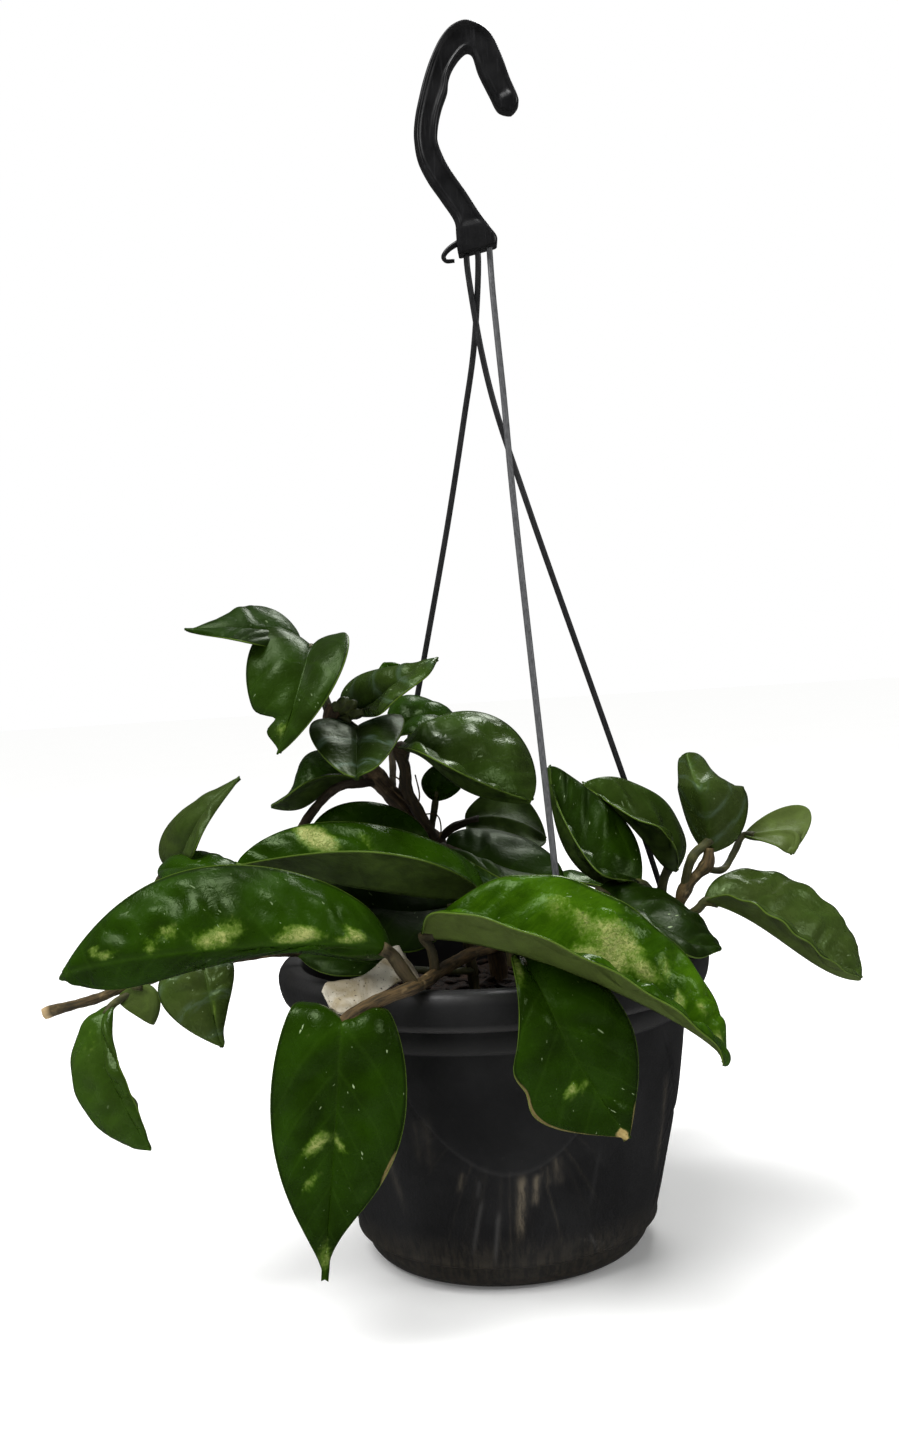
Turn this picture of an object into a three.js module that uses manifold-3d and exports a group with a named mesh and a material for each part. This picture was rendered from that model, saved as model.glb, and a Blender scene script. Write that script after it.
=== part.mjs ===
// A hoya in a moulded plastic hanging pot, with a three-arm hanger and its hook.
// Millimetres, +Z up, origin at the centre of the pot's flat base, front of the pot towards -Y.
import * as THREE from 'three';
import { mergeVertices } from 'three/addons/utils/BufferGeometryUtils.js';
import Module from 'manifold-3d';

const wasm = await Module();
wasm.setup();

// ---------- driving dimensions ----------
const gap = 0.35; // clearance between pieces that touch
const pot = {
  lipRadius: 85,
  height: 115,
  neckRadius: 76,
  baseRadius: 49,
  wall: 1.7,
  floor: 2.4,
  sides: 64,
  swags: 4, // one faces the front
  swagTurn: THREE.MathUtils.degToRad(2), // that the front one stands off the middle, to the right
  swagLow: 47, // height of the lowest point of a swag's edge
  swagRise: 40, // rise of that edge at swagSpread from the middle of the swag
  swagSpread: THREE.MathUtils.degToRad(35),
  swagRaise: 1.1, // how far a swag stands out
  drainHoles: 6,
  drainRadius: 4,
  drainCircle: 32,
};
const soil = { top: 96, bump: 1, sides: 28 };
const arm = {
  radius: 1.2,
  lipCircle: 78.8, // radius at which the arms pass through the lip
  barbRadius: 1.7,
  barbLength: 5,
  barbTop: 112.4,
  socketDepth: 4,
};
const lipSlotRadius = arm.radius + gap;
const hookThickness = 7;
const leafThickness = { rib: 1.7, margin: 1.0 };
const stalkRadius = 1.4;
const blackPlastic = { color: 0x2b2b2c, roughness: 0.48, metalness: 0 };
const leafGreen = { color: 0x24501a, roughness: 0.3, metalness: 0 };
const pottingMix = { color: 0x1d1510, roughness: 0.95, metalness: 0 };
const paleCard = { color: 0xcfc6b0, roughness: 0.7, metalness: 0 };

// The arms: where each leaves the hook's foot, the points on its way, and its angle on the lip.
const arms = {
  front: { start: [15.4, 0, 390.6], way: [[15.5, -4.6, 374], [16.2, -10.7, 352], [17, -16.8, 330],
    [18, -27.9, 290]], angle: -71.6 },
  left: { start: [10.7, 0, 388.8], way: [[9.6, 3.4, 374], [6.6, 8.6, 352], [1.9, 13.7, 330],
    [-7.1, 23, 290]], angle: 127.6 },
  right: { start: [6.2, 0, 387.2], way: [[7.2, 1.4, 374], [9.9, 3.7, 352], [14.1, 6, 330],
    [25.2, 10.2, 290]], angle: 20.8 },
};

// The leaves. Each has four points of its midrib from base to tip, and the way from the midrib to
// the left and the right margin at one third and at two thirds of it, seen with the upper face up.
// base and tip say how full its ends are, and lobe how far a heart-shaped base is drawn back.
const leaves = {
  heart: { rib: [[-50.5, -98, 111], [-51, -102.5, 107], [-54, -102.5, 83.5], [-61.5, -99, 27]],
    left: [[19, 4.5, -6], [18, 3.5, -17.5]], right: [[-21, 6, -2], [-22, 5.5, -13]],
    base: [0.29, 0.14], tip: [1.45, 1.09], lobe: 7 },
  sail: { rib: [[-34.5, -77, 129], [-66, -90, 136.5], [-118.5, -88.5, 134.5], [-151.5, -70, 125.5]],
    left: [[-19, 8, -5.5], [-3, 8.5, -11]], right: [[-3.5, 16, 22.5], [-2, 15, 21]],
    base: [0.14, 0.6], tip: [1.07, 1.62] },
  bright: { rib: [[-24, -70, 133], [15.5, -86, 126], [58, -94, 106], [74.5, -92, 89]],
    left: [[10, 10, 25.5], [5.5, 12, 19.5]], right: [[1, -22, 10.5], [-1.5, -19, 6.5]],
    base: [0.78, 0.13], tip: [0.43, 0.25] },
  apron: { rib: [[9, -80, 126], [18, -97, 111], [25, -99, 95.5], [41, -97, 67.5]],
    left: [[22, 5, 1.5], [21, 5, -2.5]], right: [[-11, -5, -6.5], [-17.5, -1, -15]],
    base: [0.3, 0.12], tip: [0.85, 0.99] },
  arch: { rib: [[-2, -38, 142], [-18.5, -52, 145], [-48, -53.5, 152], [-92, -42, 158.5]],
    left: [[1.5, -22, 13], [-1, -20, 14]], right: [[-6, 13.5, 20.5], [-12, 13.5, 21.5]],
    base: [1.02, 0.47], tip: [1.02, 0.83] },
  archBack: { rib: [[-20.5, -10, 152.5], [-36, -20, 162], [-50.5, -24, 164.5], [-69, -18, 162]],
    left: [[-6, -14, -7], [-2, -12, -8]], right: [[8, 6, 8], [-2.5, 8, 12.5]],
    base: [0.68, 1.29], tip: [0.78, 0.93] },
  dusk: { rib: [[-11, -20, 136], [-24, -33, 136], [-40, -41, 139], [-67, -37, 147]],
    left: [[1, -16, -10], [1, -14, -12]], right: [[1, 16, 9], [-4, 22, 12]],
    base: [0.5, 0.5], tip: [0.7, 0.7] },
  inner: { rib: [[-35.5, -38, 116.5], [-43, -50, 120.5], [-56, -52, 123.5], [-70.5, -46, 124]],
    left: [[-1.5, -6, -2.5], [-1.5, -6, -4.5]], right: [[-5.5, 14, 3], [-2.5, 14, 1.5]],
    base: [0.36, 0.12], tip: [0.88, 0.68] },
  crest: { rib: [[-69, -2, 240.5], [-79, -8, 244.5], [-94, -10, 247], [-113, -6, 248.5]],
    left: [[-7, -18, -3.5], [-1.5, -10, -3.5]], right: [[-3.5, 16, 11.5], [-3, 14, 7.5]],
    base: [0.34, 0.45], tip: [0.37, 1.52] },
  cup: { rib: [[-63, -12, 238], [-63.5, -26, 232.5], [-67, -36, 218.5], [-74, -42, 199]],
    left: [[16.5, -8, 4], [13, -10, 0.5]], right: [[-21.5, 8, 7.5], [-18, 6, -1]],
    base: [0.41, 0.47], tip: [0.81, 1.23], lobe: 8 },
  boat: { rib: [[-48.5, -4, 210.5], [-36.5, -14, 217], [-28.5, -22, 222.5], [-14, -26, 230.5]],
    left: [[-11.5, 16, 8.5], [-6, 12, 6]], right: [[-1, -16, -6.5], [-2.5, -16, -7.5]],
    base: [0.36, 0.82], tip: [0.71, 0.12] },
  saddle: { rib: [[-47.5, -12, 205.5], [-46.5, -26, 201], [-46, -38, 192], [-45.5, -48, 188.5]],
    left: [[18, 4, 5.5], [12.5, -2, 4.5]], right: [[-17, 6, 7.5], [-13, 0, 5.5]],
    base: [0.49, 1.26], tip: [0.29, 0.78], lobe: 5 },
  shade: { rib: [[-50.5, 0, 185], [-64, -8, 181], [-71.5, -10, 177], [-83.5, -6, 177]],
    left: [[0, -16, 6.5], [-1, -16, 6]], right: [[-7.5, 18, 13.5], [-3.5, 18, 8.5]],
    base: [0.58, 0.22], tip: [0.83, 0.55] },
  coin: { rib: [[-31, 14, 220], [-33, 14, 223], [-34, 14, 227], [-36, 14, 231]],
    left: [[-7, 0, 2], [-5, 0, 2]], right: [[3, 0, 1], [5, 0, 1]],
    base: [0.5, 0.5], tip: [0.5, 0.5] },
  dome: { rib: [[-32, -6, 197], [-18.5, -22, 191.5], [-6, -26, 181], [18, -16, 173.5]],
    left: [[10.5, 26, 18], [21, 28, 18.5]], right: [[-1.5, -22, 3.5], [1.5, -20, 5]],
    base: [1.07, 0.67], tip: [0.8, 0.79] },
  domeBack: { rib: [[-36, 22, 199], [-27, 14, 207], [-17, 14, 208], [-7, 18, 200]],
    left: [[-4, 16, 10], [0, 18, 5]], right: [[-1, -16, -5], [2, -16, -7]],
    base: [0.5, 0.5], tip: [0.6, 0.6] },
  round: { rib: [[-19, 4, 175], [-18, 0, 180], [-17, -2, 184], [-16, 0, 189]],
    left: [[-6, 2, 1], [-6, 4, 1]], right: [[9, 0, -1], [9, 2, -1]],
    base: [0.45, 0.45], tip: [0.5, 0.5] },
  under: { rib: [[-7, 6, 165], [2, 4, 166], [12, 2, 164], [24, 2, 157]],
    left: [[-1, -18, -9], [0, -16, -9]], right: [[-2, 8, 9], [0, 12, 12]],
    base: [0.45, 0.45], tip: [0.6, 0.6] },
  low: { rib: [[-15, -10, 157], [-2, -22, 152.5], [11, -26, 147.5], [28, -24, 143.5]],
    left: [[2, 16, 10.5], [7, 18, 9.5]], right: [[1, -12, -2], [0, -14, -2.5]],
    base: [0.5, 0.5], tip: [0.7, 0.7] },
  slope: { rib: [[59.5, -8, 138.5], [44.5, -12, 141], [32, -6, 153.5], [27, 6, 185]],
    left: [[1, -20, 3.5], [4.5, -21, 0]], right: [[14.5, 16, 15.5], [14.5, 14, 18.5]],
    base: [0.85, 0.9], tip: [1.72, 0.76] },
  far: { rib: [[76.5, 12, 140], [69, 6, 147], [61, 6, 158.5], [41, 12, 177]],
    left: [[1.5, -19, 10], [-1.5, -18, 5.5]], right: [[11, 14, 11.5], [1.5, 12, 17.5]],
    base: [0.59, 1.01], tip: [1.64, 0.89] },
  rim: { rib: [[42, -22, 139], [60.5, -42, 126], [71, -48, 121], [84, -40, 117]],
    left: [[14, 24, 4.5], [12, 28, -0.5]], right: [[-5.5, -20, 1], [-1, -16, -1.5]],
    base: [0.39, 0.95], tip: [0.66, 0.92] },
  ear: { rib: [[89.5, 0, 148.5], [85, -12, 170.5], [83.5, -12, 176], [81.5, 0, 187.5]],
    left: [[-6.5, 18, 2], [-5.5, 14, 0]], right: [[19.5, 16, 0.5], [15.5, 20, -2]],
    base: [0.19, 0.3], tip: [0.21, 0.12] },
  pale: { rib: [[104, 10, 153], [113.5, 4, 153.5], [122, 0, 153.5], [119.5, -6, 146.5]],
    left: [[-2, -10, -2.5], [-6.5, -8, -5]], right: [[7.5, 8, 9.5], [8.5, 8, 8]],
    base: [0.44, 0.77], tip: [0.9, 0.51] },
  reach: { rib: [[84.5, -6, 129.5], [104, -18, 121.5], [122, -22, 107.5], [141, -16, 98]],
    left: [[12, 18, 16], [15.5, 22, 13.5]], right: [[-5, -19, 10], [-4.5, -19, 8.5]],
    base: [0.36, 0.77], tip: [0.83, 0.68] },
  spear: { rib: [[-121.5, -12, 154.5], [-113.5, -20, 165], [-105.5, -22, 177.5], [-93.5, -16, 189.5]],
    left: [[-13, 10, 3], [-9, 10, 2]], right: [[3.5, -16, -3.5], [0.5, -14, -6.5]],
    base: [0.5, 1.05], tip: [0.94, 0.67] },
  hump: { rib: [[-124, -30, 156], [-112, -40, 158], [-101, -42, 158], [-91, -34, 155]],
    left: [[-5, 18, 3], [-5, 20, 2]], right: [[3, -18, -3], [3, -16, -3]],
    base: [0.5, 0.5], tip: [0.7, 0.7] },
  fin: { rib: [[-108, -40, 124], [-104, -50, 114], [-101.5, -54, 103.5], [-100, -52, 94]],
    left: [[8.5, 6, 5], [4, 4, 4]], right: [[-19.5, 6, 2], [-15, 4, 0.5]],
    base: [0.44, 0.68], tip: [0.12, 1.01] },
  drop: { rib: [[-143.5, -34, 108], [-145, -46, 96], [-137.5, -52, 76.5], [-130, -46, 56]],
    left: [[7, -8, -3.5], [5.5, -4, -0.5]], right: [[-13.5, 8, -3], [-17, 8, -4.5]],
    base: [0.82, 0.66], tip: [1.13, 0.72] },
  tag: { rib: [[-135.5, -34, 114.5], [-129, -36, 113.5], [-126, -38, 109], [-128.5, -38, 100.5]],
    left: [[-13, 4, -4], [-13.5, 4, -2.5]], right: [[-10, 8, -4.5], [-11, 10, -3]],
    base: [0.5, 0.5], tip: [0.8, 0.8] },
  backLong: { rib: [[-10, 94, 118], [-24, 107, 104], [-35, 111, 82], [-40, 108, 56]],
    left: [[-20, -5, 5], [-18, -6, 4]], right: [[20, -3, -7], [18, -3, -5]],
    base: [0.35, 0.35], tip: [1.1, 1.1], lobe: 4 },
  backShort: { rib: [[12, 93, 118], [28, 105, 108], [40, 111, 90], [46, 110, 66]],
    left: [[-15, -6, -10], [-16, -5, -7]], right: [[16, -4, 11], [16, -4, 8]],
    base: [0.4, 0.4], tip: [1, 1] },
  backLeft: { rib: [[-14, 90, 119], [-34, 104, 127], [-54, 110, 123], [-72, 108, 106]],
    left: [[-3, -17, -1], [-5, -16, -4]], right: [[4, 19, -4], [0, 18, -8]],
    base: [0.4, 0.4], tip: [1, 1] },
  backRight: { rib: [[12, 88, 120], [34, 98, 129], [54, 100, 126], [71, 96, 111]],
    left: [[-2, 18, -4], [2, 17, -8]], right: [[2, -17, -1], [5, -15, -4]],
    base: [0.4, 0.4], tip: [1, 1] },
  backUp: { rib: [[4, 56, 118], [1, 64, 132], [0, 72, 143], [2, 82, 149]],
    left: [[-16, 3, 1], [-13, 3, 1]], right: [[16, 3, 0], [13, 3, 0]],
    base: [0.4, 0.4], tip: [0.9, 0.9] },
};

// The vines: main is the stem, rooted in the soil at its first point; each stalk runs from the stem
// to the base of the leaf that it is named for and ends inside that leaf. thick has the radius of
// the stalks that are thicker than the rest, and swellings the place and radius of each node.
const vines = {
  vine_front: {
    radius: 2.3,
    main: [[17, 4, 90], [17, 3, 101], [12, -12, 114], [3, -36, 122], [-8, -52, 122.5],
      [-18.5, -66, 120], [-23.5, -76, 118.5], [-28.5, -84, 118], [-38.5, -91, 116], [-46, -96, 113.5],
      [-50.5, -98, 110.5]],
    stalks: {
      heart: [[-47, -96.5, 113], [-50, -98, 111], [-51, -99.5, 109]],
      sail: [[-27, -82, 118], [-31, -81, 124], [-34.5, -79, 129], [-37.5, -80.5, 131.5]],
      bright: [[-20.5, -69, 119.5], [-20.5, -69, 123.5], [-21.5, -69.5, 129], [-24, -70, 133],
        [-19.5, -73, 133.5]],
      apron: [[7.5, -24, 118.5], [7, -52, 124.5], [9, -74, 128], [9, -80, 126], [11, -84, 123]],
    },
    thick: { sail: 2.4, bright: 1.7, apron: 1.7 },
  },
  vine_arch: {
    radius: 2.2,
    main: [[-8, -6, 90], [-8, -7, 104], [-9, -13, 121], [-7, -20, 134], [-1, -32, 140], [-4, -39, 142]],
    stalks: {
      arch: [[-1, -32, 140], [-2, -38, 142], [-5, -42.5, 142]],
      archBack: [[-8, -18, 131], [-12, -13, 143], [-20.5, -10, 152.5], [-24.5, -12.5, 155.5]],
      dusk: [[-8, -16, 128], [-11, -20, 135], [-16, -26, 136]],
      inner: [[-8, -9, 108], [-22, -26, 112], [-35.5, -38, 116.5], [-37, -43, 118]],
    },
  },
  vine_top: {
    radius: 3.7,
    main: [[2, 31, 90], [2, 30, 102], [-2, 26, 122], [-12, 19, 141], [-20.5, 10, 157], [-29, 6, 169],
      [-36, 2, 178], [-42.5, -2, 187], [-51, -6, 198], [-57, -8, 209], [-55, -8, 215]],
    stalks: {
      crest: [[-57, -8, 209], [-64, 2, 226], [-69, -2, 240.5], [-73, -5, 242.5]],
      cup: [[-57, -8, 211], [-62, -6, 226], [-63, -12, 238], [-63, -17.5, 237]],
      boat: [[-56, -8, 213], [-48.5, -4, 210.5], [-44, -7, 212.5]],
      saddle: [[-55, -8, 212], [-47.5, -12, 205.5], [-47, -17.5, 205]],
      shade: [[-43, -2, 187.5], [-50.5, 0, 185], [-55, -2.5, 184]],
      coin: [[-55, -6, 214], [-41, 6, 216], [-31, 13, 219], [-32, 14, 222]],
      dome: [[-21, 4, 160], [-26, -1, 171], [-30, -4, 181], [-30, -5.5, 189], [-32, -6, 197],
        [-28.5, -10, 196.5]],
      domeBack: [[-36, 3, 179], [-36, 14, 188], [-36, 21, 198], [-32, 18, 203]],
      round: [[-22, 8, 161], [-20, 5, 170], [-19, 4, 175], [-18, 1, 179]],
      under: [[-19, 10, 158], [-13, 8, 163], [-7, 6, 165], [-2, 5, 166]],
      low: [[-16, 12, 151], [-17, -2, 157], [-15, -10, 157], [-9.5, -16, 155.5]],
      branch: [[-41, -2, 184], [-48, -7, 184], [-53.5, -12, 184], [-58.5, -15, 182], [-64, -17, 177],
        [-69, -18, 171], [-73, -18, 165]],
    },
    thick: { dome: 2.4, branch: 2.1, under: 1.7, crest: 1.7, cup: 1.7 },
    swellings: [[-42, -2.5, 186, 4], [-56, -8, 211, 4.6], [-51, -9, 214, 3], [-53, -12, 213, 2.6],
      [-20.5, 9, 158, 4.3], [-48.5, -7, 183, 2.7]],
  },
  vine_back: {
    radius: 2,
    main: [[50, 16, 90], [51, 16, 101], [58, 12, 116], [66, 8, 127], [67, 8, 130]],
    stalks: {
      slope: [[66, 8, 127], [64, 1, 134], [59.5, -8, 138.5], [54.5, -10.5, 139]],
      far: [[66, 8, 127], [69, 9, 131], [71.5, 11, 138], [74.5, 12, 143], [73, 9, 143]],
      rim: [[61, 11, 120], [49, -4, 131], [42, -22, 139], [45.5, -25.5, 136.5]],
    },
    thick: { far: 2, slope: 1.7 },
    swellings: [[66, 8, 127, 3]],
  },
  vine_right: {
    radius: 1.9,
    main: [[66, -6, 90], [67, -5, 102], [71.5, 0, 116], [74.5, -1, 126], [77.5, -2, 134], [82, -2, 139],
      [87, -2, 144], [88, -1.5, 150]],
    stalks: {
      ear: [[77.5, -2, 134], [79, -2.5, 142], [82, -2.5, 148], [86, -1.5, 151], [89, -1.5, 153.5]],
      pale: [[86.5, -2, 142.5], [89.5, -1, 141], [94, 2, 141], [99.5, 7, 147], [104, 10, 153],
        [108, 6.5, 153]],
      reach: [[73, -1, 120], [78.5, -4, 124.5], [82, -6, 127], [84.5, -6, 129.5], [89, -9, 129]],
    },
    thick: { ear: 1.9, reach: 1.8 },
    swellings: [[77.5, -2, 134, 3.2], [86.5, -2, 143.5, 3.1]],
  },
  vine_left: {
    radius: 1.9,
    main: [[-46, 4, 90], [-46.5, 3.6, 100], [-51, 0, 107], [-62, -6, 114.5], [-80, -14, 120.5],
      [-106, -24, 120], [-130, -29, 116], [-140, -30, 113.5], [-149.5, -30, 110], [-160, -29, 107.5],
      [-169, -28, 105.5], [-172, -28, 104.5]],
    stalks: {
      spear: [[-110, -25, 119.5], [-120, -22, 132], [-122, -15, 146], [-121.5, -12, 154.5],
        [-118.5, -15.5, 157.5]],
      hump: [[-112, -26, 119], [-122, -29, 138], [-125, -29, 152], [-119, -34, 157]],
      fin: [[-106, -24, 120], [-108, -34, 126], [-108, -40, 124], [-106.5, -44, 120.5]],
      drop: [[-132, -29.5, 115], [-138, -32.5, 111], [-143.5, -34, 108], [-145.5, -38.5, 105]],
      tag: [[-131, -29.5, 115.5], [-135.5, -34, 114.5], [-131.5, -35.5, 114]],
    },
    thick: { drop: 1.5 },
    swellings: [[-132, -29.5, 115, 2.6], [-108, -25, 120, 2.8], [-170, -28, 105.5, 2.5]],
  },
  vine_behind: {
    radius: 2.1,
    main: [[8, 54, 90], [8, 55, 102], [5, 64, 114], [0, 76, 120.5], [0, 86, 121], [1, 93, 118]],
    stalks: {
      backLong: [[1, 90, 120], [-8, 93, 119], [-15, 99, 114]],
      backShort: [[1, 92, 119], [10, 92, 119], [18, 98, 115]],
      backLeft: [[0, 84, 121], [-10, 88, 120], [-19, 94, 122]],
      backRight: [[0, 82, 121], [10, 87, 120.5], [17, 90, 123]],
      backUp: [[6, 61, 111], [5, 57, 117], [3, 59, 124]],
    },
    swellings: [[0, 85, 121, 3]],
  },
};

// ---------- helpers ----------
const vector = (p) => new THREE.Vector3(...p);
const track = (points) => new THREE.CatmullRomCurve3(points.map(vector), false, 'centripetal');

// A solid for cutting and joining, from any closed geometry. Faces that point in are turned round.
function solid(geometry) {
  const bare = geometry.clone();
  bare.deleteAttribute('normal');
  bare.deleteAttribute('uv');
  const merged = mergeVertices(bare, 1e-4);
  const position = merged.attributes.position;
  const index = Array.from(merged.index.array);
  const triangles = [];
  let volume = 0;
  for (let i = 0; i < index.length; i += 3) {
    const [a, b, c] = index.slice(i, i + 3);
    if (a === b || b === c || c === a) continue;
    const [pa, pb, pc] = [a, b, c].map((k) => new THREE.Vector3().fromBufferAttribute(position, k));
    volume += pa.dot(pb.cross(pc));
    triangles.push(a, b, c);
  }
  if (volume < 0) triangles.reverse();
  const mesh = new wasm.Mesh({
    numProp: 3,
    vertProperties: new Float32Array(position.array),
    triVerts: new Uint32Array(triangles),
  });
  return new wasm.Manifold(mesh);
}

function geometryOf(body) {
  const mesh = body.getMesh();
  const geometry = new THREE.BufferGeometry();
  geometry.setAttribute('position', new THREE.BufferAttribute(new Float32Array(mesh.vertProperties), 3));
  geometry.setIndex(Array.from(mesh.triVerts));
  geometry.computeVertexNormals();
  return geometry;
}

const join = (bodies) => bodies.reduce((whole, body) => whole.add(body));
const cut = (whole, tools) => tools.reduce((rest, tool) => rest.subtract(tool), whole);

// A round rod along a smooth curve through the points.
function rod(points, radius, sides, steps) {
  const corners = Array.from({ length: sides }, (_, i) => {
    const turn = (2 * Math.PI * i) / sides;
    return new THREE.Vector2(radius * Math.cos(turn), radius * Math.sin(turn));
  });
  const options = { steps, extrudePath: track(points), bevelEnabled: false };
  return solid(new THREE.ExtrudeGeometry(new THREE.Shape(corners), options));
}

function ball([x, y, z, radius]) {
  return solid(new THREE.SphereGeometry(radius, 6, 4).translate(x, y, z));
}

// An upright cylinder or cone from a lower to an upper height.
function post(x, y, low, high, lowRadius, highRadius = lowRadius, sides = 12) {
  const shape = new THREE.CylinderGeometry(highRadius, lowRadius, high - low, sides);
  shape.rotateX(Math.PI / 2).translate(x, y, (low + high) / 2);
  return solid(shape);
}

function lathe(profile, sides) {
  const points = profile.map(([r, z]) => new THREE.Vector2(r, z));
  return new THREE.LatheGeometry(points, sides).rotateX(Math.PI / 2);
}

// A closed slab round a grid of points: rows[i][j] is the middle, thickness(i, j) its depth there.
// Both faces are split into triangles alike.
function slab(rows, thickness) {
  const nu = rows.length - 1;
  const nv = rows[0].length - 1;
  const at = (i, j) => rows[Math.min(Math.max(i, 0), nu)][Math.min(Math.max(j, 0), nv)];
  const positions = [];
  for (const side of [1, -1]) {
    for (let i = 0; i <= nu; i++) {
      for (let j = 0; j <= nv; j++) {
        const across = at(i, j + 1).clone().sub(at(i, j - 1));
        const along = at(i + 1, j).clone().sub(at(i - 1, j));
        const normal = across.cross(along).normalize();
        const point = at(i, j).clone().addScaledVector(normal, (side * thickness(i, j)) / 2);
        positions.push(point.x, point.y, point.z);
      }
    }
  }
  const under = (nu + 1) * (nv + 1);
  const id = (i, j) => i * (nv + 1) + j;
  const index = [];
  for (let i = 0; i < nu; i++) {
    for (let j = 0; j < nv; j++) {
      const [a, b, c, d] = [id(i, j), id(i, j + 1), id(i + 1, j + 1), id(i + 1, j)];
      index.push(a, b, c, a, c, d);
      index.push(under + a, under + c, under + b, under + a, under + d, under + c);
    }
  }
  const edge = [];
  for (let j = 0; j < nv; j++) edge.push(id(0, j));
  for (let i = 0; i < nu; i++) edge.push(id(i, nv));
  for (let j = nv; j > 0; j--) edge.push(id(nu, j));
  for (let i = nu; i > 0; i--) edge.push(id(i, 0));
  edge.forEach((a, k) => {
    const b = edge[(k + 1) % edge.length];
    index.push(b, a, under + a, b, under + a, under + b);
  });
  const geometry = new THREE.BufferGeometry();
  geometry.setAttribute('position', new THREE.BufferAttribute(new Float32Array(positions), 3));
  geometry.setIndex(index);
  return solid(geometry);
}

// ---------- leaves ----------
// The cubic through four points at even steps.
function through(points, t) {
  const a = 1 - 3 * t;
  const b = 2 - 3 * t;
  const c = 1 - t;
  const weights = [(a * b * c) / 2, (9 * t * b * c) / 2, (-9 * t * a * c) / 2, (t * a * b) / 2];
  const sum = new THREE.Vector3();
  points.forEach((point, k) => sum.addScaledVector(point, weights[k]));
  return sum;
}

// A blade is a midrib with a half on each side. The halves widen as a power of a sine, so that
// margins pass the stated points, and each half is puffed up a little between midrib and margin.
function blade({ rib, left, right, base, tip, lobe = 0 }) {
  const puff = 0.12;
  const endFullness = 0.05;
  const ribPoints = rib.map(vector);
  const halves = [left, right].map((half) => half.map(vector));
  const length = ribPoints[0].distanceTo(ribPoints[3]);
  const nu = length > 60 ? 8 : length > 20 ? 6 : 5;
  const nv = 4;
  const rows = [];
  for (let i = 0; i <= nu; i++) {
    const u = (1 - Math.cos((Math.PI * i) / nu)) / 2;
    const middle = through(ribPoints, u);
    const along = through(ribPoints, u + 1e-4).sub(through(ribPoints, u - 1e-4)).normalize();
    const swell = Math.max(Math.sin(Math.PI * u), 0) / Math.sin(Math.PI / 3);
    const [toLeft, toRight] = halves.map(([one, two], side) => {
      const fullness = base[side] + (tip[side] - base[side]) * u;
      const width = Math.max(swell ** fullness, endFullness);
      return one.clone().lerp(two, (u - 1 / 3) * 3).multiplyScalar(width);
    });
    const normal = toRight.clone().sub(toLeft).cross(along).normalize();
    const row = [];
    for (let j = 0; j <= nv; j++) {
      const w = (2 * j) / nv - 1;
      const s = Math.abs(w);
      const half = w < 0 ? toLeft : toRight;
      const point = middle.clone().addScaledVector(half, s);
      point.addScaledVector(normal, 4 * s * (1 - s) * puff * half.length());
      point.addScaledVector(along, -lobe * s ** 1.5 * (1 - u) ** 4);
      row.push(point);
    }
    rows.push(row);
  }
  return slab(rows, (i, j) => {
    const s = Math.abs((2 * j) / nv - 1);
    return leafThickness.rib + (leafThickness.margin - leafThickness.rib) * s;
  });
}

// ---------- vines ----------
function vine({ radius, main, stalks, thick = {}, swellings = [] }) {
  const bodies = [rod(main, radius, 6, Math.round(main.length * 1.3))];
  for (const [name, way] of Object.entries(stalks)) {
    bodies.push(rod(way, thick[name] ?? stalkRadius, 5, way.length - 1));
    if (leaves[name]) bodies.push(blade(leaves[name]));
  }
  swellings.forEach((swelling) => bodies.push(ball(swelling)));
  return join(bodies);
}

// ---------- pot ----------
// How far the wall stands out at an angle and a height: a raised swag on each quarter.
function relief(angle, z) {
  const quarter = (2 * Math.PI) / pot.swags;
  const front = -Math.PI / 2 + pot.swagTurn;
  const turn = angle - front;
  const phi = turn - quarter * Math.round(turn / quarter);
  const edge = pot.swagLow + pot.swagRise * (phi / pot.swagSpread) ** 2;
  const edgeWidth = 1.8;
  const fadeLength = 8;
  const inside = 1 / (1 + Math.exp((edge - z) / edgeWidth));
  const fade = THREE.MathUtils.clamp((90 - z) / fadeLength, 0, 1);
  return pot.swagRaise * inside * fade;
}

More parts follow.
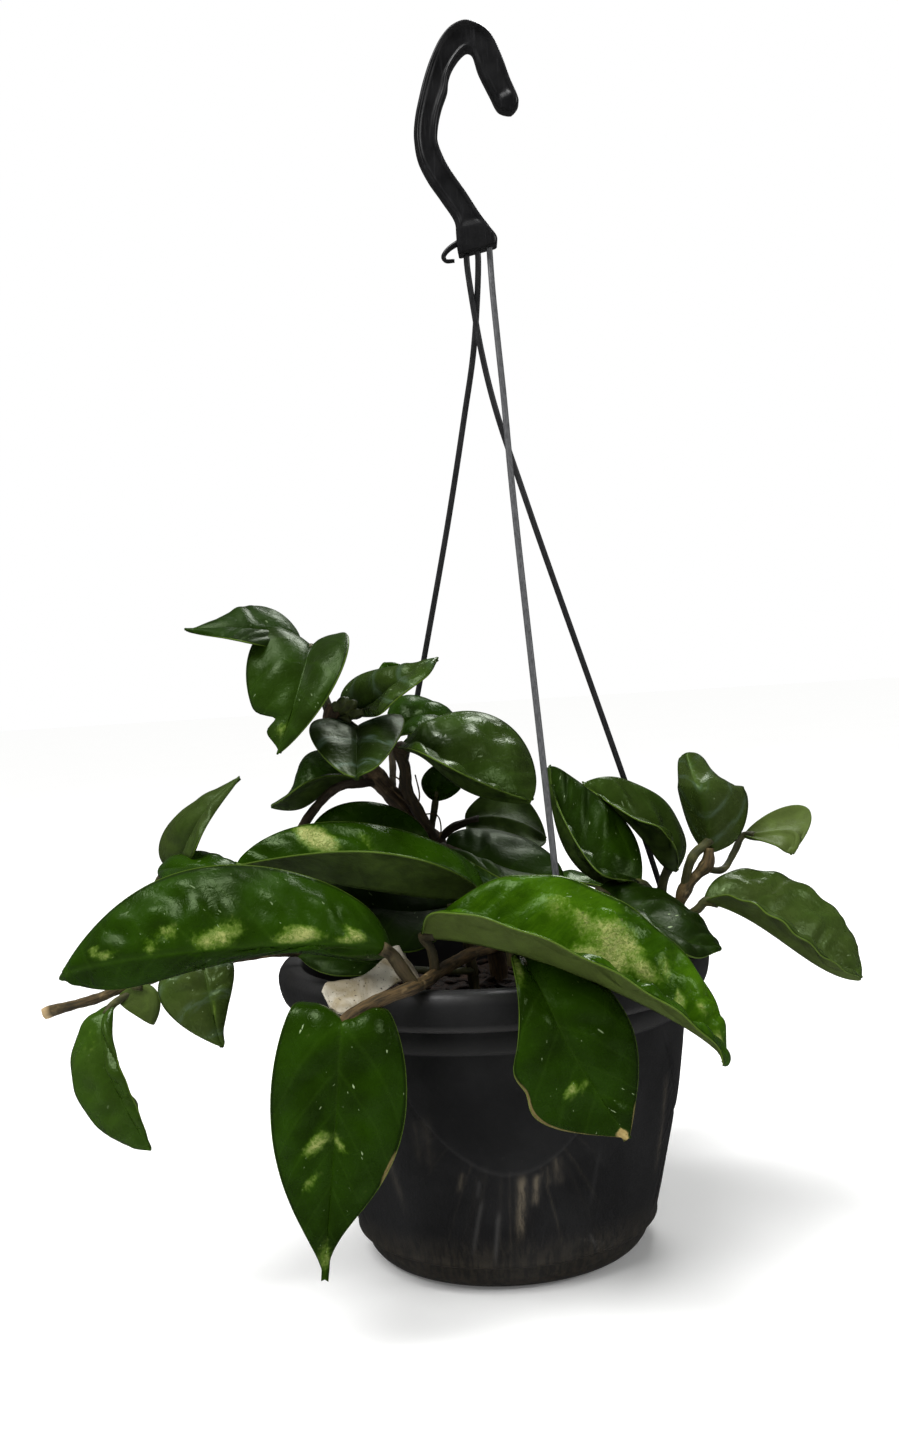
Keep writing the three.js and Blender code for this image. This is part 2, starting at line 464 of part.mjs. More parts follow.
function makePot(slots) {
  const wallRows = [[59.8, 14], [62, 23], [63.9, 31], [65.4, 37.5], [66.7, 43], [68, 49],
    [69.2, 55], [70.4, 61.5], [71.4, 68], [72.4, 75], [73.3, 82], [74.4, 91]];
  const { neckRadius: neck, height, lipRadius } = pot;
  const profile = [
    [0, 0], [pot.baseRadius, 0], [52.4, 1.2], [55.6, 5], [57.4, 9.2], [58.9, 10.2],
    ...wallRows,
    [neck, 92.4], [neck + 0.4, 101], [neck + 0.8, height - 2], [80.9, height - 2], [80.6, 101.4],
    [82, 101], [84.4, 105.5], [lipRadius, 109.5], [84.2, 113], [82.2, height], [0, height],
  ];
  const shape = lathe(profile, pot.sides);
  const position = shape.attributes.position;
  const firstRow = profile.indexOf(wallRows[0]);
  const lastRow = firstRow + wallRows.length;
  for (let i = 0; i < position.count; i++) {
    const ring = i % profile.length;
    if (ring < firstRow || ring >= lastRow) continue;
    const [x, y, z] = [position.getX(i), position.getY(i), position.getZ(i)];
    const radius = Math.hypot(x, y);
    const grown = (radius + relief(Math.atan2(y, x), z)) / radius;
    position.setXY(i, x * grown, y * grown);
  }
  const hollow = lathe([
    [0, pot.floor], [49, pot.floor], [52, pot.floor + 1], [56.5, 10], [60.9 - pot.wall, 18],
    [66.7 - pot.wall, 46], [74.3 - pot.wall, 90], [74.2, 92.6], [74.4, 100], [75.2, 113.4],
    [neck + 1.2, height + 1], [0, height + 1],
  ], pot.sides / 2);
  const drains = Array.from({ length: pot.drainHoles }, (_, i) => {
    const turn = (2 * Math.PI * i) / pot.drainHoles;
    const x = pot.drainCircle * Math.cos(turn);
    const y = pot.drainCircle * Math.sin(turn);
    return post(x, y, -1, pot.floor + 2, pot.drainRadius);
  });
  return cut(solid(shape), [solid(hollow), ...drains, ...slots]);
}

// ---------- soil ----------
function makeSoil(holes) {
  const low = pot.floor + gap;
  const profile = [
    [0, low], [48.6, low], [51.6, low + 1], [56 - gap, 10.3], [58.6, 18], [64.4, 46], [71.6, 88],
    [72.4, 91], [73.2, 94], [72, soil.top], [54, soil.top], [36, soil.top], [18, soil.top],
    [0, soil.top],
  ];
  const shape = lathe(profile, soil.sides);
  const position = shape.attributes.position;
  for (let i = 0; i < position.count; i++) {
    const [x, y, z] = [position.getX(i), position.getY(i), position.getZ(i)];
    if (z < soil.top - 0.1) continue;
    const ripple = Math.sin(x * 0.21 + 1.3) * Math.cos(y * 0.17) + 0.5 * Math.sin(x * 0.43 - y * 0.37);
    position.setZ(i, z + soil.bump * ripple);
  }
  return cut(solid(shape), holes);
}

// ---------- hanger ----------
// The hook is cut from a plate: a smooth outer line up the back, over the top and down to the
// rounded point, and an inner line back to the foot. A channel runs along both of its faces.
function makeHook(sockets) {
  const outer = [[2.3, 402.8], [-2.5, 411.3], [-7.5, 419.5], [-10.8, 427.5], [-11.7, 435.4],
    [-10.8, 443.1], [-8.8, 450.8], [-6.4, 458.4], [-3.3, 466], [1, 473.5], [5.9, 478.2],
    [11.1, 480], [14.5, 478.8], [18.3, 476.6], [20.9, 473.7], [22.7, 470.1], [24.9, 464.1]];
  const point = [[27.3, 456.1], [29.9, 449], [30.3, 446.4], [29.7, 443.9], [27.3, 441.8], [23.8, 442.7]];
  const inner = [[21, 445.7], [19.1, 450.1], [15.7, 457.9], [14.2, 462.5], [13.2, 466.6],
    [10.8, 468.2], [8.3, 466.4], [5.1, 462.3], [3.2, 457.8], [2.4, 453.2], [-0.4, 446.3],
    [-1.9, 440.6], [-2.5, 434.8], [-1.3, 428.8], [1.4, 423.2], [5.3, 417], [12.5, 404.4], [17.2, 397.5]];
  const foot = [[18.6, 395], [18.4, 391.9], [4.8, 388.5], [3, 388.8], [2.7, 395.3]];
  const corners = [...outer, ...point, ...inner, ...foot].map(([x, z]) => new THREE.Vector2(x, z));
  const outline = new THREE.Shape(corners);
  const bevel = 0.8;
  const plate = new THREE.ExtrudeGeometry(outline, {
    depth: hookThickness - 2 * bevel,
    bevelThickness: bevel,
    bevelSize: bevel,
    bevelOffset: -bevel,
    bevelSegments: 1,
    steps: 1,
  });
  plate.rotateX(Math.PI / 2).translate(0, (hookThickness - 2 * bevel) / 2, 0);
  const middle = [[9.6, 399.5], [5.6, 407], [1, 414.5], [-3, 421.4], [-6.2, 428.7], [-7.1, 435.1],
    [-6.4, 441.9], [-4.1, 449.8], [-1.8, 457], [0.6, 463], [4.2, 469.2], [11, 474], [16.8, 470.2],
    [20.3, 461], [23.2, 453.1], [25.6, 446.8]];
  const channelDepth = 1.7;
  const channelWidth = 4.6;
  const channels = [-1, 1].map((side) => {
    const bar = [[-2, -channelWidth / 2], [channelDepth, -channelWidth / 2],
      [channelDepth, channelWidth / 2], [-2, channelWidth / 2]];
    const y = (side * hookThickness) / 2;
    const section = bar.map(([depth, across]) => new THREE.Vector2(-side * depth, across));
    return channel(middle.map(([x, z]) => [x, y, z]), section);
  });
  // The small clip on the foot, which holds the arms for packing.
  const clipLine = [[3.4, 396], [-1.6, 392.9], [-4, 389.9], [-4.2, 386.8], [1.6, 386.4], [1.6, 387.8],
    [-1.6, 388.4], [-0.6, 390.4], [3.4, 392.8]];
  const clip = new THREE.Shape(clipLine.map(([x, z]) => new THREE.Vector2(x, z)));
  const clipPlate = new THREE.ExtrudeGeometry(clip, { depth: 3, bevelEnabled: false, steps: 1 });
  clipPlate.rotateX(Math.PI / 2).translate(0, 1.5, 0);
  return cut(join([solid(plate), solid(clipPlate)]), [...channels, ...sockets]);
}

// A bar whose section keeps its own Y axis along the part's Y, swept in the XZ plane.
function channel(points, section) {
  const curve = track(points);
  const steps = 22;
  const rings = Array.from({ length: steps + 1 }, (_, i) => {
    const t = i / steps;
    const along = curve.getTangentAt(t);
    const sideways = new THREE.Vector3(-along.z, 0, along.x);
    return section.map((corner) =>
      curve.getPointAt(t).add(new THREE.Vector3(0, corner.x, 0)).addScaledVector(sideways, corner.y));
  });
  const count = section.length;
  const positions = rings.flat().flatMap((p) => [p.x, p.y, p.z]);
  const index = [];
  for (let i = 0; i < steps; i++) {
    for (let k = 0; k < count; k++) {
      const [a, b] = [i * count + k, i * count + ((k + 1) % count)];
      index.push(a, b, b + count, a, b + count, a + count);
    }
  }
  const last = steps * count;
  index.push(0, 2, 1, 0, 3, 2, last, last + 1, last + 2, last, last + 2, last + 3);
  const geometry = new THREE.BufferGeometry();
  geometry.setAttribute('position', new THREE.BufferAttribute(new Float32Array(positions), 3));
  geometry.setIndex(index);
  return solid(geometry);
}

function lipPoint({ angle }) {
  const turn = THREE.MathUtils.degToRad(angle);
  return [arm.lipCircle * Math.cos(turn), arm.lipCircle * Math.sin(turn)];
}

// An arm runs from its socket in the hook's foot to the lip, and ends in a barb below its slot.
function makeArm(one) {
  const [x, y] = lipPoint(one);
  const [sx, sy, sz] = one.start;
  const shaft = rod([[sx, sy, sz - 2], ...one.way, [x, y, pot.height + 6]], arm.radius, 8, 12);
  const head = post(sx, sy, sz - 3.5, sz + arm.socketDepth - 1.6, arm.radius, arm.radius, 8);
  const foot = post(x, y, arm.barbTop - 2, pot.height + 7, arm.radius, arm.radius, 8);
  const barb = post(x, y, arm.barbTop - arm.barbLength, arm.barbTop, 0.9, arm.barbRadius, 8);
  return join([shaft, head, foot, barb]);
}

// ---------- label ----------
// A strip of card folded over: up out of the soil, then forwards and down over the lip.
function makeLabel() {
  const way = [[-25, -43.5, 97], [-27, -46, 108], [-28.5, -53, 117.5], [-32, -62, 123], [-37, -70, 121],
    [-43.5, -78, 118], [-51, -84, 116.5], [-54.5, -85.8, 116.5], [-57, -87, 116.5]];
  const widths = [1, 1, 1, 1, 0.75, 0.7, 0.92, 0.9, 0.5];
  const halfWidth = new THREE.Vector3(2.8, -3, -5.2);
  const rows = way.map((p, i) =>
    [-1, 0, 1].map((w) => vector(p).addScaledVector(halfWidth, w * widths[i])));
  return slab(rows, () => 0.8);
}

// ---------- assembly ----------
const group = new THREE.Group();

function add(name, body, finish) {
  const mesh = new THREE.Mesh(geometryOf(body), new THREE.MeshStandardMaterial(finish));
  mesh.name = name;
  group.add(mesh);
}

const armList = Object.values(arms);
const slots = armList.map((one) => post(...lipPoint(one), pot.height - 4, pot.height + 2, lipSlotRadius));
const sockets = armList.map(({ start: [x, y, z] }) =>
  post(x, y, z - 6, z + arm.socketDepth - 1.6 + gap, lipSlotRadius));
const label = makeLabel();
const stemHoles = Object.values(vines).map(({ radius, main: [[x, y, z]] }) =>
  post(x, y, z - 1, soil.top + 6, radius + 0.6, radius + 2.6));
const labelHole = solid(new THREE.BoxGeometry(10, 13, 18).translate(-24.4, -44.8, soil.top));

add('pot', makePot(slots), blackPlastic);
add('soil', makeSoil([...stemHoles, labelHole]), pottingMix);
add('hook', makeHook(sockets), blackPlastic);
for (const [name, one] of Object.entries(arms)) add(`arm_${name}`, makeArm(one), blackPlastic);
add('label', label, paleCard);
for (const [name, one] of Object.entries(vines)) add(name, vine(one), leafGreen);

export default group;
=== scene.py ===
import math
from functools import partial

import bpy
import numpy as np
from mathutils import Matrix, Vector


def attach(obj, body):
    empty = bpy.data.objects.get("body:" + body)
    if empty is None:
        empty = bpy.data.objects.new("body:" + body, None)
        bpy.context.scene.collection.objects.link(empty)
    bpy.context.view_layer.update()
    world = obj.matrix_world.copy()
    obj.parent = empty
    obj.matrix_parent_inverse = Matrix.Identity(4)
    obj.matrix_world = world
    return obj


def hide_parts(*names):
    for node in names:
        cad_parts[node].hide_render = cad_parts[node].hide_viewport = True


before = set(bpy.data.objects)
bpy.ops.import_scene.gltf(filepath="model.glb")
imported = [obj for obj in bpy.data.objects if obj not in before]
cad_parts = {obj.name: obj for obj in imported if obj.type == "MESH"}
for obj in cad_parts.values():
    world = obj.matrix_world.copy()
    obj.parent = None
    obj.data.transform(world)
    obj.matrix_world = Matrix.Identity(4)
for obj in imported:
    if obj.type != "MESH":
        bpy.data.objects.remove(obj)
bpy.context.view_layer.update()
scene = bpy.context.scene
mm = 0.001
print("frame loaded:", len(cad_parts), "nodes")

# Camera: level pot, so the slight tilt of the hanging pot is a roll of the camera
camera = dict(place=(0, -556, 216), lens=34.616, sensor=36, yaw=1.2, pitch=1.29, roll=-3.44)


def addCamera(c):
    data = bpy.data.cameras.new("camera")
    data.lens, data.sensor_width = c["lens"], c["sensor"]
    data.clip_start, data.clip_end = 0.01, 50
    yaw, pitch, roll = (math.radians(c[k]) for k in ("yaw", "pitch", "roll"))
    back = Vector((math.sin(yaw) * math.cos(pitch), -math.cos(yaw) * math.cos(pitch), math.sin(pitch)))
    side = Vector((math.cos(yaw), math.sin(yaw), 0))
    right = math.cos(roll) * side + math.sin(roll) * back.cross(side)
    turned = Matrix((right, back.cross(right), back)).transposed().to_4x4()
    obj = bpy.data.objects.new("camera", data)
    obj.matrix_world = Matrix.Translation(Vector(c["place"]) * mm) @ turned
    scene.collection.objects.link(obj)
    scene.camera = obj


addCamera(camera)


def array(points):
    return np.array(points, float)


def smooth(a, b, x):
    t = np.clip((x - a) / (b - a), 0, 1)
    return t * t * (3 - 2 * t)


def unit(v):
    return v / np.maximum(np.linalg.norm(v, axis=-1, keepdims=True), 1e-9)


# Angles of a full turn in even steps
def circle(count):
    return np.linspace(0, 2 * math.pi, count, endpoint=False)


# Points round the Z axis, from radii, heights and angles
def turned(radius, height, angle):
    return np.stack(np.broadcast_arrays(radius * np.cos(angle), radius * np.sin(angle), height), -1)


# Length along a path at each of its points
def lengths(path):
    return np.concatenate([[0], np.cumsum(np.linalg.norm(np.diff(path, axis=0), axis=1))])


# A sum of sines in random directions, about -1 to 1, with bumps of the given size
def ripples(rng, x, y, size, count=7):
    total = np.zeros_like(x)
    for turn, phase, grow in rng.uniform([0, 0, 0.7], [np.pi, 2 * np.pi, 1.5], (count, 3)):
        total += np.sin((x * np.cos(turn) + y * np.sin(turn)) * 2 * np.pi * grow / (2 * size) + phase)
    return total / math.sqrt(count)


# Centripetal Catmull-Rom curve through the points, sampled at even steps of length
def curveThrough(points, count):
    p = array(points)
    p = np.vstack([2 * p[0] - p[1], p, 2 * p[-1] - p[-2]])
    knots = np.cumsum([0, *np.maximum(np.linalg.norm(np.diff(p, axis=0), axis=1), 1e-3) ** 0.5])
    parts = []
    for k in range(1, len(p) - 2):
        t = np.linspace(knots[k], knots[k + 1], 24)[:, None]
        level = [p[j] for j in range(k - 1, k + 3)]
        # blend neighbours, then neighbours of those, and then the last two
        for step, first in ((1, k - 1), (2, k - 1), (1, k)):
            starts = range(first, first + len(level) - 1)
            level = [((knots[j + step] - t) * a + (t - knots[j]) * b) / (knots[j + step] - knots[j])
                     for j, a, b in zip(starts, level, level[1:])]
        parts.append(level[0][:-1])
    line = np.vstack(parts + [p[-2:-1]])
    run = lengths(line)
    at = np.linspace(0, run[-1], count)
    return np.stack([np.interp(at, run, one) for one in line.T], 1), at


# Rings of a tube round a path. Two directions square to the path are carried along it without twist, and
# tall stretches the second. The radius has a value for each row, or for each row and direction.
def tube(path, radius, turn, hint=(0.3, 0.2, 1), tall=1.0):
    along = unit(np.gradient(path, axis=0))
    side = unit(np.cross(along[0], array(hint)))
    sides = []
    for t in along:
        side = unit(side - t * (side @ t))
        sides.append(side)
    sides = array(sides)[:, None]
    ups = np.cross(along[:, None], sides) * tall
    return path[:, None] + radius[..., None] * (sides * np.cos(turn)[:, None] + ups * np.sin(turn)[:, None])


# Faces of a closed form made of rings, rings[i, k]: quads round and along it, and a fan on each end.
# A form that closes on itself has no ends.
def ringForm(rings, fields=None, closed=False):
    rows, count = rings.shape[:2]
    ids = np.arange(rows * count).reshape(rows, count)
    here, ahead = (ids, np.roll(ids, -1, axis=0)) if closed else (ids[:-1], ids[1:])
    quads = np.stack([here, np.roll(here, -1, 1), np.roll(ahead, -1, 1), ahead], -1).reshape(-1, 4)
    points = rings.reshape(-1, 3)
    fields = {k: np.broadcast_to(v, (rows, count)).ravel().astype(float) for k, v in (fields or {}).items()}
    tris = np.zeros((0, 3), int)
    if not closed:
        first, last = np.full(count, len(points)), np.full(count, len(points) + 1)
        points = np.vstack([points, rings[0].mean(0), rings[-1].mean(0)])
        tris = np.vstack([np.stack([first, np.roll(ids[0], -1), ids[0]], 1),
                          np.stack([last, ids[-1], np.roll(ids[-1], -1)], 1)])
        fields = {k: np.concatenate([v, [v[:count].mean(), v[-count:].mean()]]) for k, v in fields.items()}
    # the faces look outward if the volume that they enclose is above zero
    a, b, c, d = (points[quads[:, k]] for k in range(4))
    e, f, g = (points[tris[:, k]] for k in range(3))
    if (a * (np.cross(b, c) + np.cross(c, d))).sum() + (e * np.cross(f, g)).sum() < 0:
        quads, tris = quads[:, ::-1], tris[:, ::-1]
    return points, quads, tris, fields


def joined(forms):
    names = sorted({k for form in forms for k in form[3]})
    starts = np.cumsum([0] + [len(form[0]) for form in forms[:-1]])
    quads, tris = (np.vstack([form[k] + start for form, start in zip(forms, starts)]) for k in (1, 2))
    fields = {k: np.concatenate([form[3].get(k, np.zeros(len(form[0]))) for form in forms]) for k in names}
    return np.vstack([form[0] for form in forms]), quads, tris, fields


def addPiece(name, form, material, replaces=()):
    points, quads, tris, fields = form
    mesh = bpy.data.meshes.new(name)
    corners = np.concatenate([quads.ravel(), tris.ravel()]).astype(np.int32)
    sides = np.repeat([4, 3], [len(quads), len(tris)])
    mesh.vertices.add(len(points))
    mesh.vertices.foreach_set("co", (points * mm).astype(np.float32).ravel())
    mesh.loops.add(len(corners))
    mesh.loops.foreach_set("vertex_index", corners)
    mesh.polygons.add(len(sides))
    mesh.polygons.foreach_set("loop_start", (np.cumsum(sides) - sides).astype(np.int32))
    mesh.polygons.foreach_set("use_smooth", np.ones(len(sides), bool))
    mesh.update(calc_edges=True)
    mesh.validate()
    for key, values in fields.items():
        layer = mesh.attributes.new(key, "FLOAT", "POINT")
        layer.data.foreach_set("value", values.astype(np.float32))
    mesh.materials.append(material)
    obj = bpy.data.objects.new(name, mesh)
    scene.collection.objects.link(obj)
    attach(obj, "root")
    if replaces:
        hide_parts(*replaces)
    return obj


# A finish with its sRGB hex codes as linear colours
def linear(finish):
    def bend(c):
        return c / 12.92 if c <= 0.04045 else ((c + 0.055) / 1.055) ** 2.4
    return {key: tuple(bend(int(code[k:k + 2], 16) / 255) for k in (1, 3, 5)) + (1.0,)
            for key, code in finish.items()}


# Scale of a pattern with bumps of a size in mm
def grains(size):
    return 1 / (size * mm)


# The kinds of node in use: type, settings, the sockets or settings that plain arguments fill, and the output
nodeKinds = dict(
    mix=("Mix", dict(data_type="RGBA"), (0, 6, 7), 2),
    blend=("Mix", dict(data_type="FLOAT"), (0, 2, 3), 0),
    ramp=("MapRange", dict(interpolation_type="SMOOTHSTEP"), (0, 1, 2, 3, 4), 0),
    noise=("TexNoise", dict(Detail=3.0, Roughness=0.55),
           ("Vector", "Scale", "Detail", "Roughness", "Distortion"), 0),
    cells=("TexVoronoi", dict(Randomness=1.0), ("Vector", "Scale"), "Distance"),
    stretch=("Mapping", {}, ("Vector", "Scale"), 0),
    shift=("VectorMath", dict(operation="ADD"), (0, 1), 0),
    place=("TexCoord", {}, (), "Object"),
    field=("Attribute", dict(attribute_type="GEOMETRY"), ("attribute_name",), "Fac"),
    bump=("Bump", {}, ("Strength", "Distance", "Height"), 0))
for operation in ("add", "subtract", "multiply", "divide", "maximum", "absolute", "fract"):
    nodeKinds[operation] = ("Math", dict(operation=operation.upper()), (0, 1), 0)


# Adds a node, sets its settings and sockets or links them, and gives back its output
def addNode(tree, kind, *values, **more):
    nodeType, settings, keys, output = nodeKinds.get(kind, (kind, {}, range(9), 0))
    node = tree.nodes.new("ShaderNode" + nodeType)
    for key, value in {**settings, **dict(zip(keys, values)), **more}.items():
        if isinstance(key, str) and hasattr(node, key):
            setattr(node, key, value)
            continue
        socket = node.inputs[key.replace("_", " ") if isinstance(key, str) else key]
        if isinstance(value, bpy.types.NodeSocket):
            tree.links.new(value, socket)
        else:
            socket.default_value = value
    return node.outputs[output] if node.outputs else node


def newMaterial(name):
    material = bpy.data.materials.new(name)
    material.use_nodes = True
    material.node_tree.nodes.clear()
    return material, partial(addNode, material.node_tree)


# Blade of a hoya: thick, waxy and glossy above, with sunk veins and silvery flecks, paler and duller below
leafFinish = dict(deep="#0e1b01", green="#1b3202", fresh="#2f5503", lime="#5f8a10", vein="#3d5c16",
                  fleck="#93a67c", silver="#62766a", olive="#5d6a38", edge="#0b1504", line="#5c7526",
                  under="#384b1a", underDeep="#223010", underPale="#69743c", pale="#989c5e", dry="#b8a46c",
                  dryDeep="#7d6238")
# side veins leave the midrib one every so many mm
veinStep = 13


def leafMaterial(c):
    material, put = newMaterial("leaf_waxy_blade")
    place = put("place")
    f = {name: put("field", name) for name in (
        "upper", "tone", "across", "rib", "veinRun", "acrossMm", "seed", "fleck", "stripe", "olive",
        "underPale", "pale", "dry", "matt")}
    broad = put("noise", place, grains(26), 2)
    mottle = put("noise", place, grains(7), 4, 0.6, 0.4)
    grain = put("noise", place, grains(1.3), 2)
    # coordinates that lie along the side veins, in mm
    along = put("CombineXYZ", f["veinRun"], f["acrossMm"], f["seed"])
    streaks = put("noise", put("stretch", along, (0.55, 0.16, 1)), 1.0, 3.0, 0.6)
    # flecks are short dashes that lie along the side veins, and a few round dots
    ragged = put("shift", along, put("noise", place, grains(2), 2.0, 0.5).node.outputs["Color"])
    spots = []
    for shape, least, largest in (((0.42, 0.2, 1), 0.8, 0.2), ((0.6, 0.6, 1), 0.84, 0.17)):
        cells = put("cells", put("stretch", ragged, shape), 1.0)
        pick = put("SeparateColor", cells.node.outputs["Color"])
        size = put("ramp", pick, least, 1.0, 0.03, largest)
        spot = put("ramp", put("subtract", cells, size), 0.0, -0.06)
        spots.append(put("multiply", spot, put("ramp", pick, least, least + 0.01)))
    fleck = put("multiply", put("maximum", *spots), f["fleck"], use_clamp=True)
    swayed = put("add", f["veinRun"], put("multiply", broad, 5.0))
    veinGap = put("absolute", put("subtract", put("fract", put("divide", swayed, veinStep)), 0.5))
    vein = put("ramp", veinGap, 0.1, 0.0)
    band = put("ramp", veinGap, 0.22, 0.02)
    stripes = put("multiply", put("multiply", band, put("ramp", streaks, 0.35, 0.65)), f["stripe"], use_clamp=True)
    lit = put("multiply", f["tone"], put("ramp", broad, 0.25, 0.7, 0.45, 1.0), use_clamp=True)
    patchy = put("add", put("multiply", streaks, 0.35), put("multiply", broad, 0.65))
    yellow = put("multiply", put("subtract", f["tone"], 0.4, use_clamp=True), put("ramp", patchy, 0.38, 0.66),
                 use_clamp=True)
    # pale blotches have torn edges, a yellow-green rim and fine green furrows inside
    torn = put("add", put("multiply", mottle, 0.7), put("multiply", grain, 0.5))
    blotch = put("add", f["pale"], put("subtract", torn, 0.6))
    # on the sail leaf these patches are partly painted highlights on its wrinkles
    paleAndSheenMask = put("ramp", blotch, 0.15, 0.95)
    halo = put("multiply", put("ramp", blotch, 0.02, 0.5), put("ramp", f["pale"], 0.02, 0.3, 0, 0.32))
    furrow = put("ramp", put("noise", place, grains(1.7), 4, 0.65, 1.6), 0.38, 0.56)
    dryMask = put("ramp", put("add", f["dry"], put("multiply", mottle, 0.35)), 0.55, 0.8)
    dryColour = put("mix", grain, c["dryDeep"], c["dry"])

    clouds = put("add", put("multiply", broad, 0.7), put("multiply", mottle, 0.3))
    base = put("mix", put("ramp", clouds, 0.3, 0.7), c["deep"], c["green"])
    for share, shade in (
            (lit, c["fresh"]), (yellow, c["lime"]),
            (put("multiply", f["olive"], put("ramp", mottle, 0.2, 0.8, 0.6, 1.0)), c["olive"]),
            # painted shade: leaves that lie in shade are darkened towards the deep green
            (put("multiply", f["matt"], 2.0, use_clamp=True), c["deep"]),
            (put("multiply", vein, 0.07), c["vein"]), (put("multiply", f["rib"], 0.16), c["vein"]),
            (put("multiply", stripes, 0.6), c["silver"]), (put("multiply", fleck, 0.9), c["fleck"]),
            (halo, c["lime"]),
            (put("multiply", paleAndSheenMask, put("add", put("multiply", furrow, 0.62), 0.34)), c["pale"]),
            (dryMask, dryColour), (put("multiply", put("ramp", f["across"], 0.93, 0.97), 0.6), c["edge"]),
            (put("multiply", put("ramp", f["across"], 0.985, 0.998), 0.6), c["line"])):
        base = put("mix", share, base, shade)
    below = put("mix", put("ramp", mottle, 0.25, 0.75), c["underDeep"], c["under"])
    for share, strength, shade in ((vein, 0.25, c["green"]), (f["underPale"], 0.6, c["underPale"]),
                                   (dryMask, 0.6, dryColour)):
        below = put("mix", put("multiply", share, strength), below, shade)
    skin = put("mix", f["upper"], below, base)
    gloss = put("add", put("ramp", mottle, 0.3, 0.7, 0.2, 0.32), put("multiply", dryMask, 0.2))
    rough = put("blend", f["upper"], 0.55, put("add", gloss, f["matt"]))
    crease = put("noise", place, grains(3.2), 3, 0.6, 1.0)
    height = put("multiply", crease, put("ramp", put("add", paleAndSheenMask, dryMask), 0, 1, 0.34, 1.1))
    bump = put("bump", 0.7, 0.0011, put("add", height, put("multiply", grain, 0.05)))
    put("OutputMaterial", put("BsdfPrincipled", Base_Color=skin, Roughness=rough, Normal=bump, IOR=1.42,
                              Specular_IOR_Level=0.34, Specular_Tint=(0.7, 1.0, 0.45, 1)))
    return material


# Stem of a hoya: green and smooth when young, brown and finely furrowed bark when old
stemFinish = dict(bark="#5f4a2e", barkDeep="#2d2318", barkPale="#877150", green="#464f27",
                  greenDeep="#2e3518", dark="#2a2117", cut="#a8916b")


def stemMaterial(c):
    material, put = newMaterial("stem_bark")
    woody, run, turn, seed, dark, cut = (put("field", name) for name in (
        "woody", "run", "turn", "seed", "dark", "cut"))
    fibre = put("stretch", put("CombineXYZ", turn, run, seed), (1.4, 0.14, 1))
    lines = put("noise", fibre, 1.0, 5.0, 0.65)
    patch = put("noise", put("place"), grains(5), 4)
    bark = put("mix", put("ramp", lines, 0.35, 0.65), c["barkDeep"], c["bark"])
    bark = put("mix", put("ramp", patch, 0.55, 0.75), bark, c["barkPale"])
    green = put("mix", put("ramp", patch, 0.3, 0.7), c["greenDeep"], c["green"])
    # darker bark, and painted shade on stalks that run down into the pot or lie under leaves
    skin = put("mix", dark, put("mix", woody, green, bark), c["dark"])
    skin = put("mix", cut, skin, c["cut"])
    bump = put("bump", 0.8, 0.0006, put("add", lines, put("multiply", patch, 0.5)))
    put("OutputMaterial", put("BsdfPrincipled", Base_Color=skin, Normal=bump, IOR=1.45,
                              Roughness=put("ramp", woody, 0, 1, 0.42, 0.75)))
    return material


# Moulded polypropylene: black, satin, dusty, with brown scuffs where the relief stands proud
potFinish = dict(black="#151516", grey="#212122", dust="#3c3a36", scuff="#766a53", rubbed="#4c4b4a")


def potMaterial(c):
    material, put = newMaterial("pot_moulded_polypropylene")
    place, wear, rub = put("place"), put("field", "wear"), put("field", "rub")
    cloud = put("noise", place, grains(30), 4)
    specks = put("noise", place, grains(1.1), 3, 0.7)
    drips = put("noise", put("stretch", place, (1, 1, 0.08)), grains(1.6), 4, 0.7)
    worn = put("multiply", wear, put("ramp", drips, 0.36, 0.62, 0.25, 1.0), use_clamp=True)
    skin = put("mix", put("ramp", cloud, 0.3, 0.75), c["black"], c["grey"])
    # the pale grey is rubbed streaks on the body, and painted highlights on the lip and the ledge under it
    for share, strength, shade in ((put("ramp", specks, 0.62, 0.78), 0.35, "dust"), (worn, 0.75, "scuff"),
                                   (rub, 0.5, "rubbed")):
        skin = put("mix", put("multiply", share, strength), skin, c[shade])
    rough = put("ramp", put("add", cloud, put("multiply", worn, 0.3)), 0.25, 0.9, 0.3, 0.55)
    bump = put("bump", 0.35, 0.0003, put("add", specks, drips))
    put("OutputMaterial", put("BsdfPrincipled", Base_Color=skin, Roughness=rough, Normal=bump, IOR=1.49,
                              Specular_IOR_Level=0.42))
    return material


# The same plastic, moulded thin for the hanger: darker and smoother, with fine lengthwise drag lines.
# a painted reflection lies pale grey along the drag lines, strongest on the front arm
hangerFinish = dict(black="#0f0f10", grey="#19191a", drag="#3c3c3e", bloom="#77787a")


def hangerMaterial(c):
    material, put = newMaterial("hanger_moulded_polypropylene")
    place = put("place")
    lines = put("noise", put("stretch", place, (1, 1, 0.05)), grains(0.6), 3)
    cloud = put("noise", place, grains(9), 3)
    skin = put("mix", put("ramp", cloud, 0.3, 0.7), c["black"], c["grey"])
    skin = put("mix", put("multiply", put("ramp", lines, 0.55, 0.75), 0.3), skin, c["drag"])
    # painted reflection of the lights along the drag lines
    bloom = put("multiply", put("field", "bloom"), put("ramp", lines, 0.3, 0.6, 0.55, 1.0))
    skin = put("mix", bloom, skin, c["bloom"])
    put("OutputMaterial", put("BsdfPrincipled", Base_Color=skin, Roughness=put("ramp", cloud, 0.3, 0.7, 0.3, 0.42),
                              Normal=put("bump", 0.2, 0.0002, lines), IOR=1.49, Specular_IOR_Level=0.4))
    return material


# Bark and peat: dark, damp and matt
soilFinish = dict(wet="#0a0705", peat="#2a1b11", bark="#412a18")


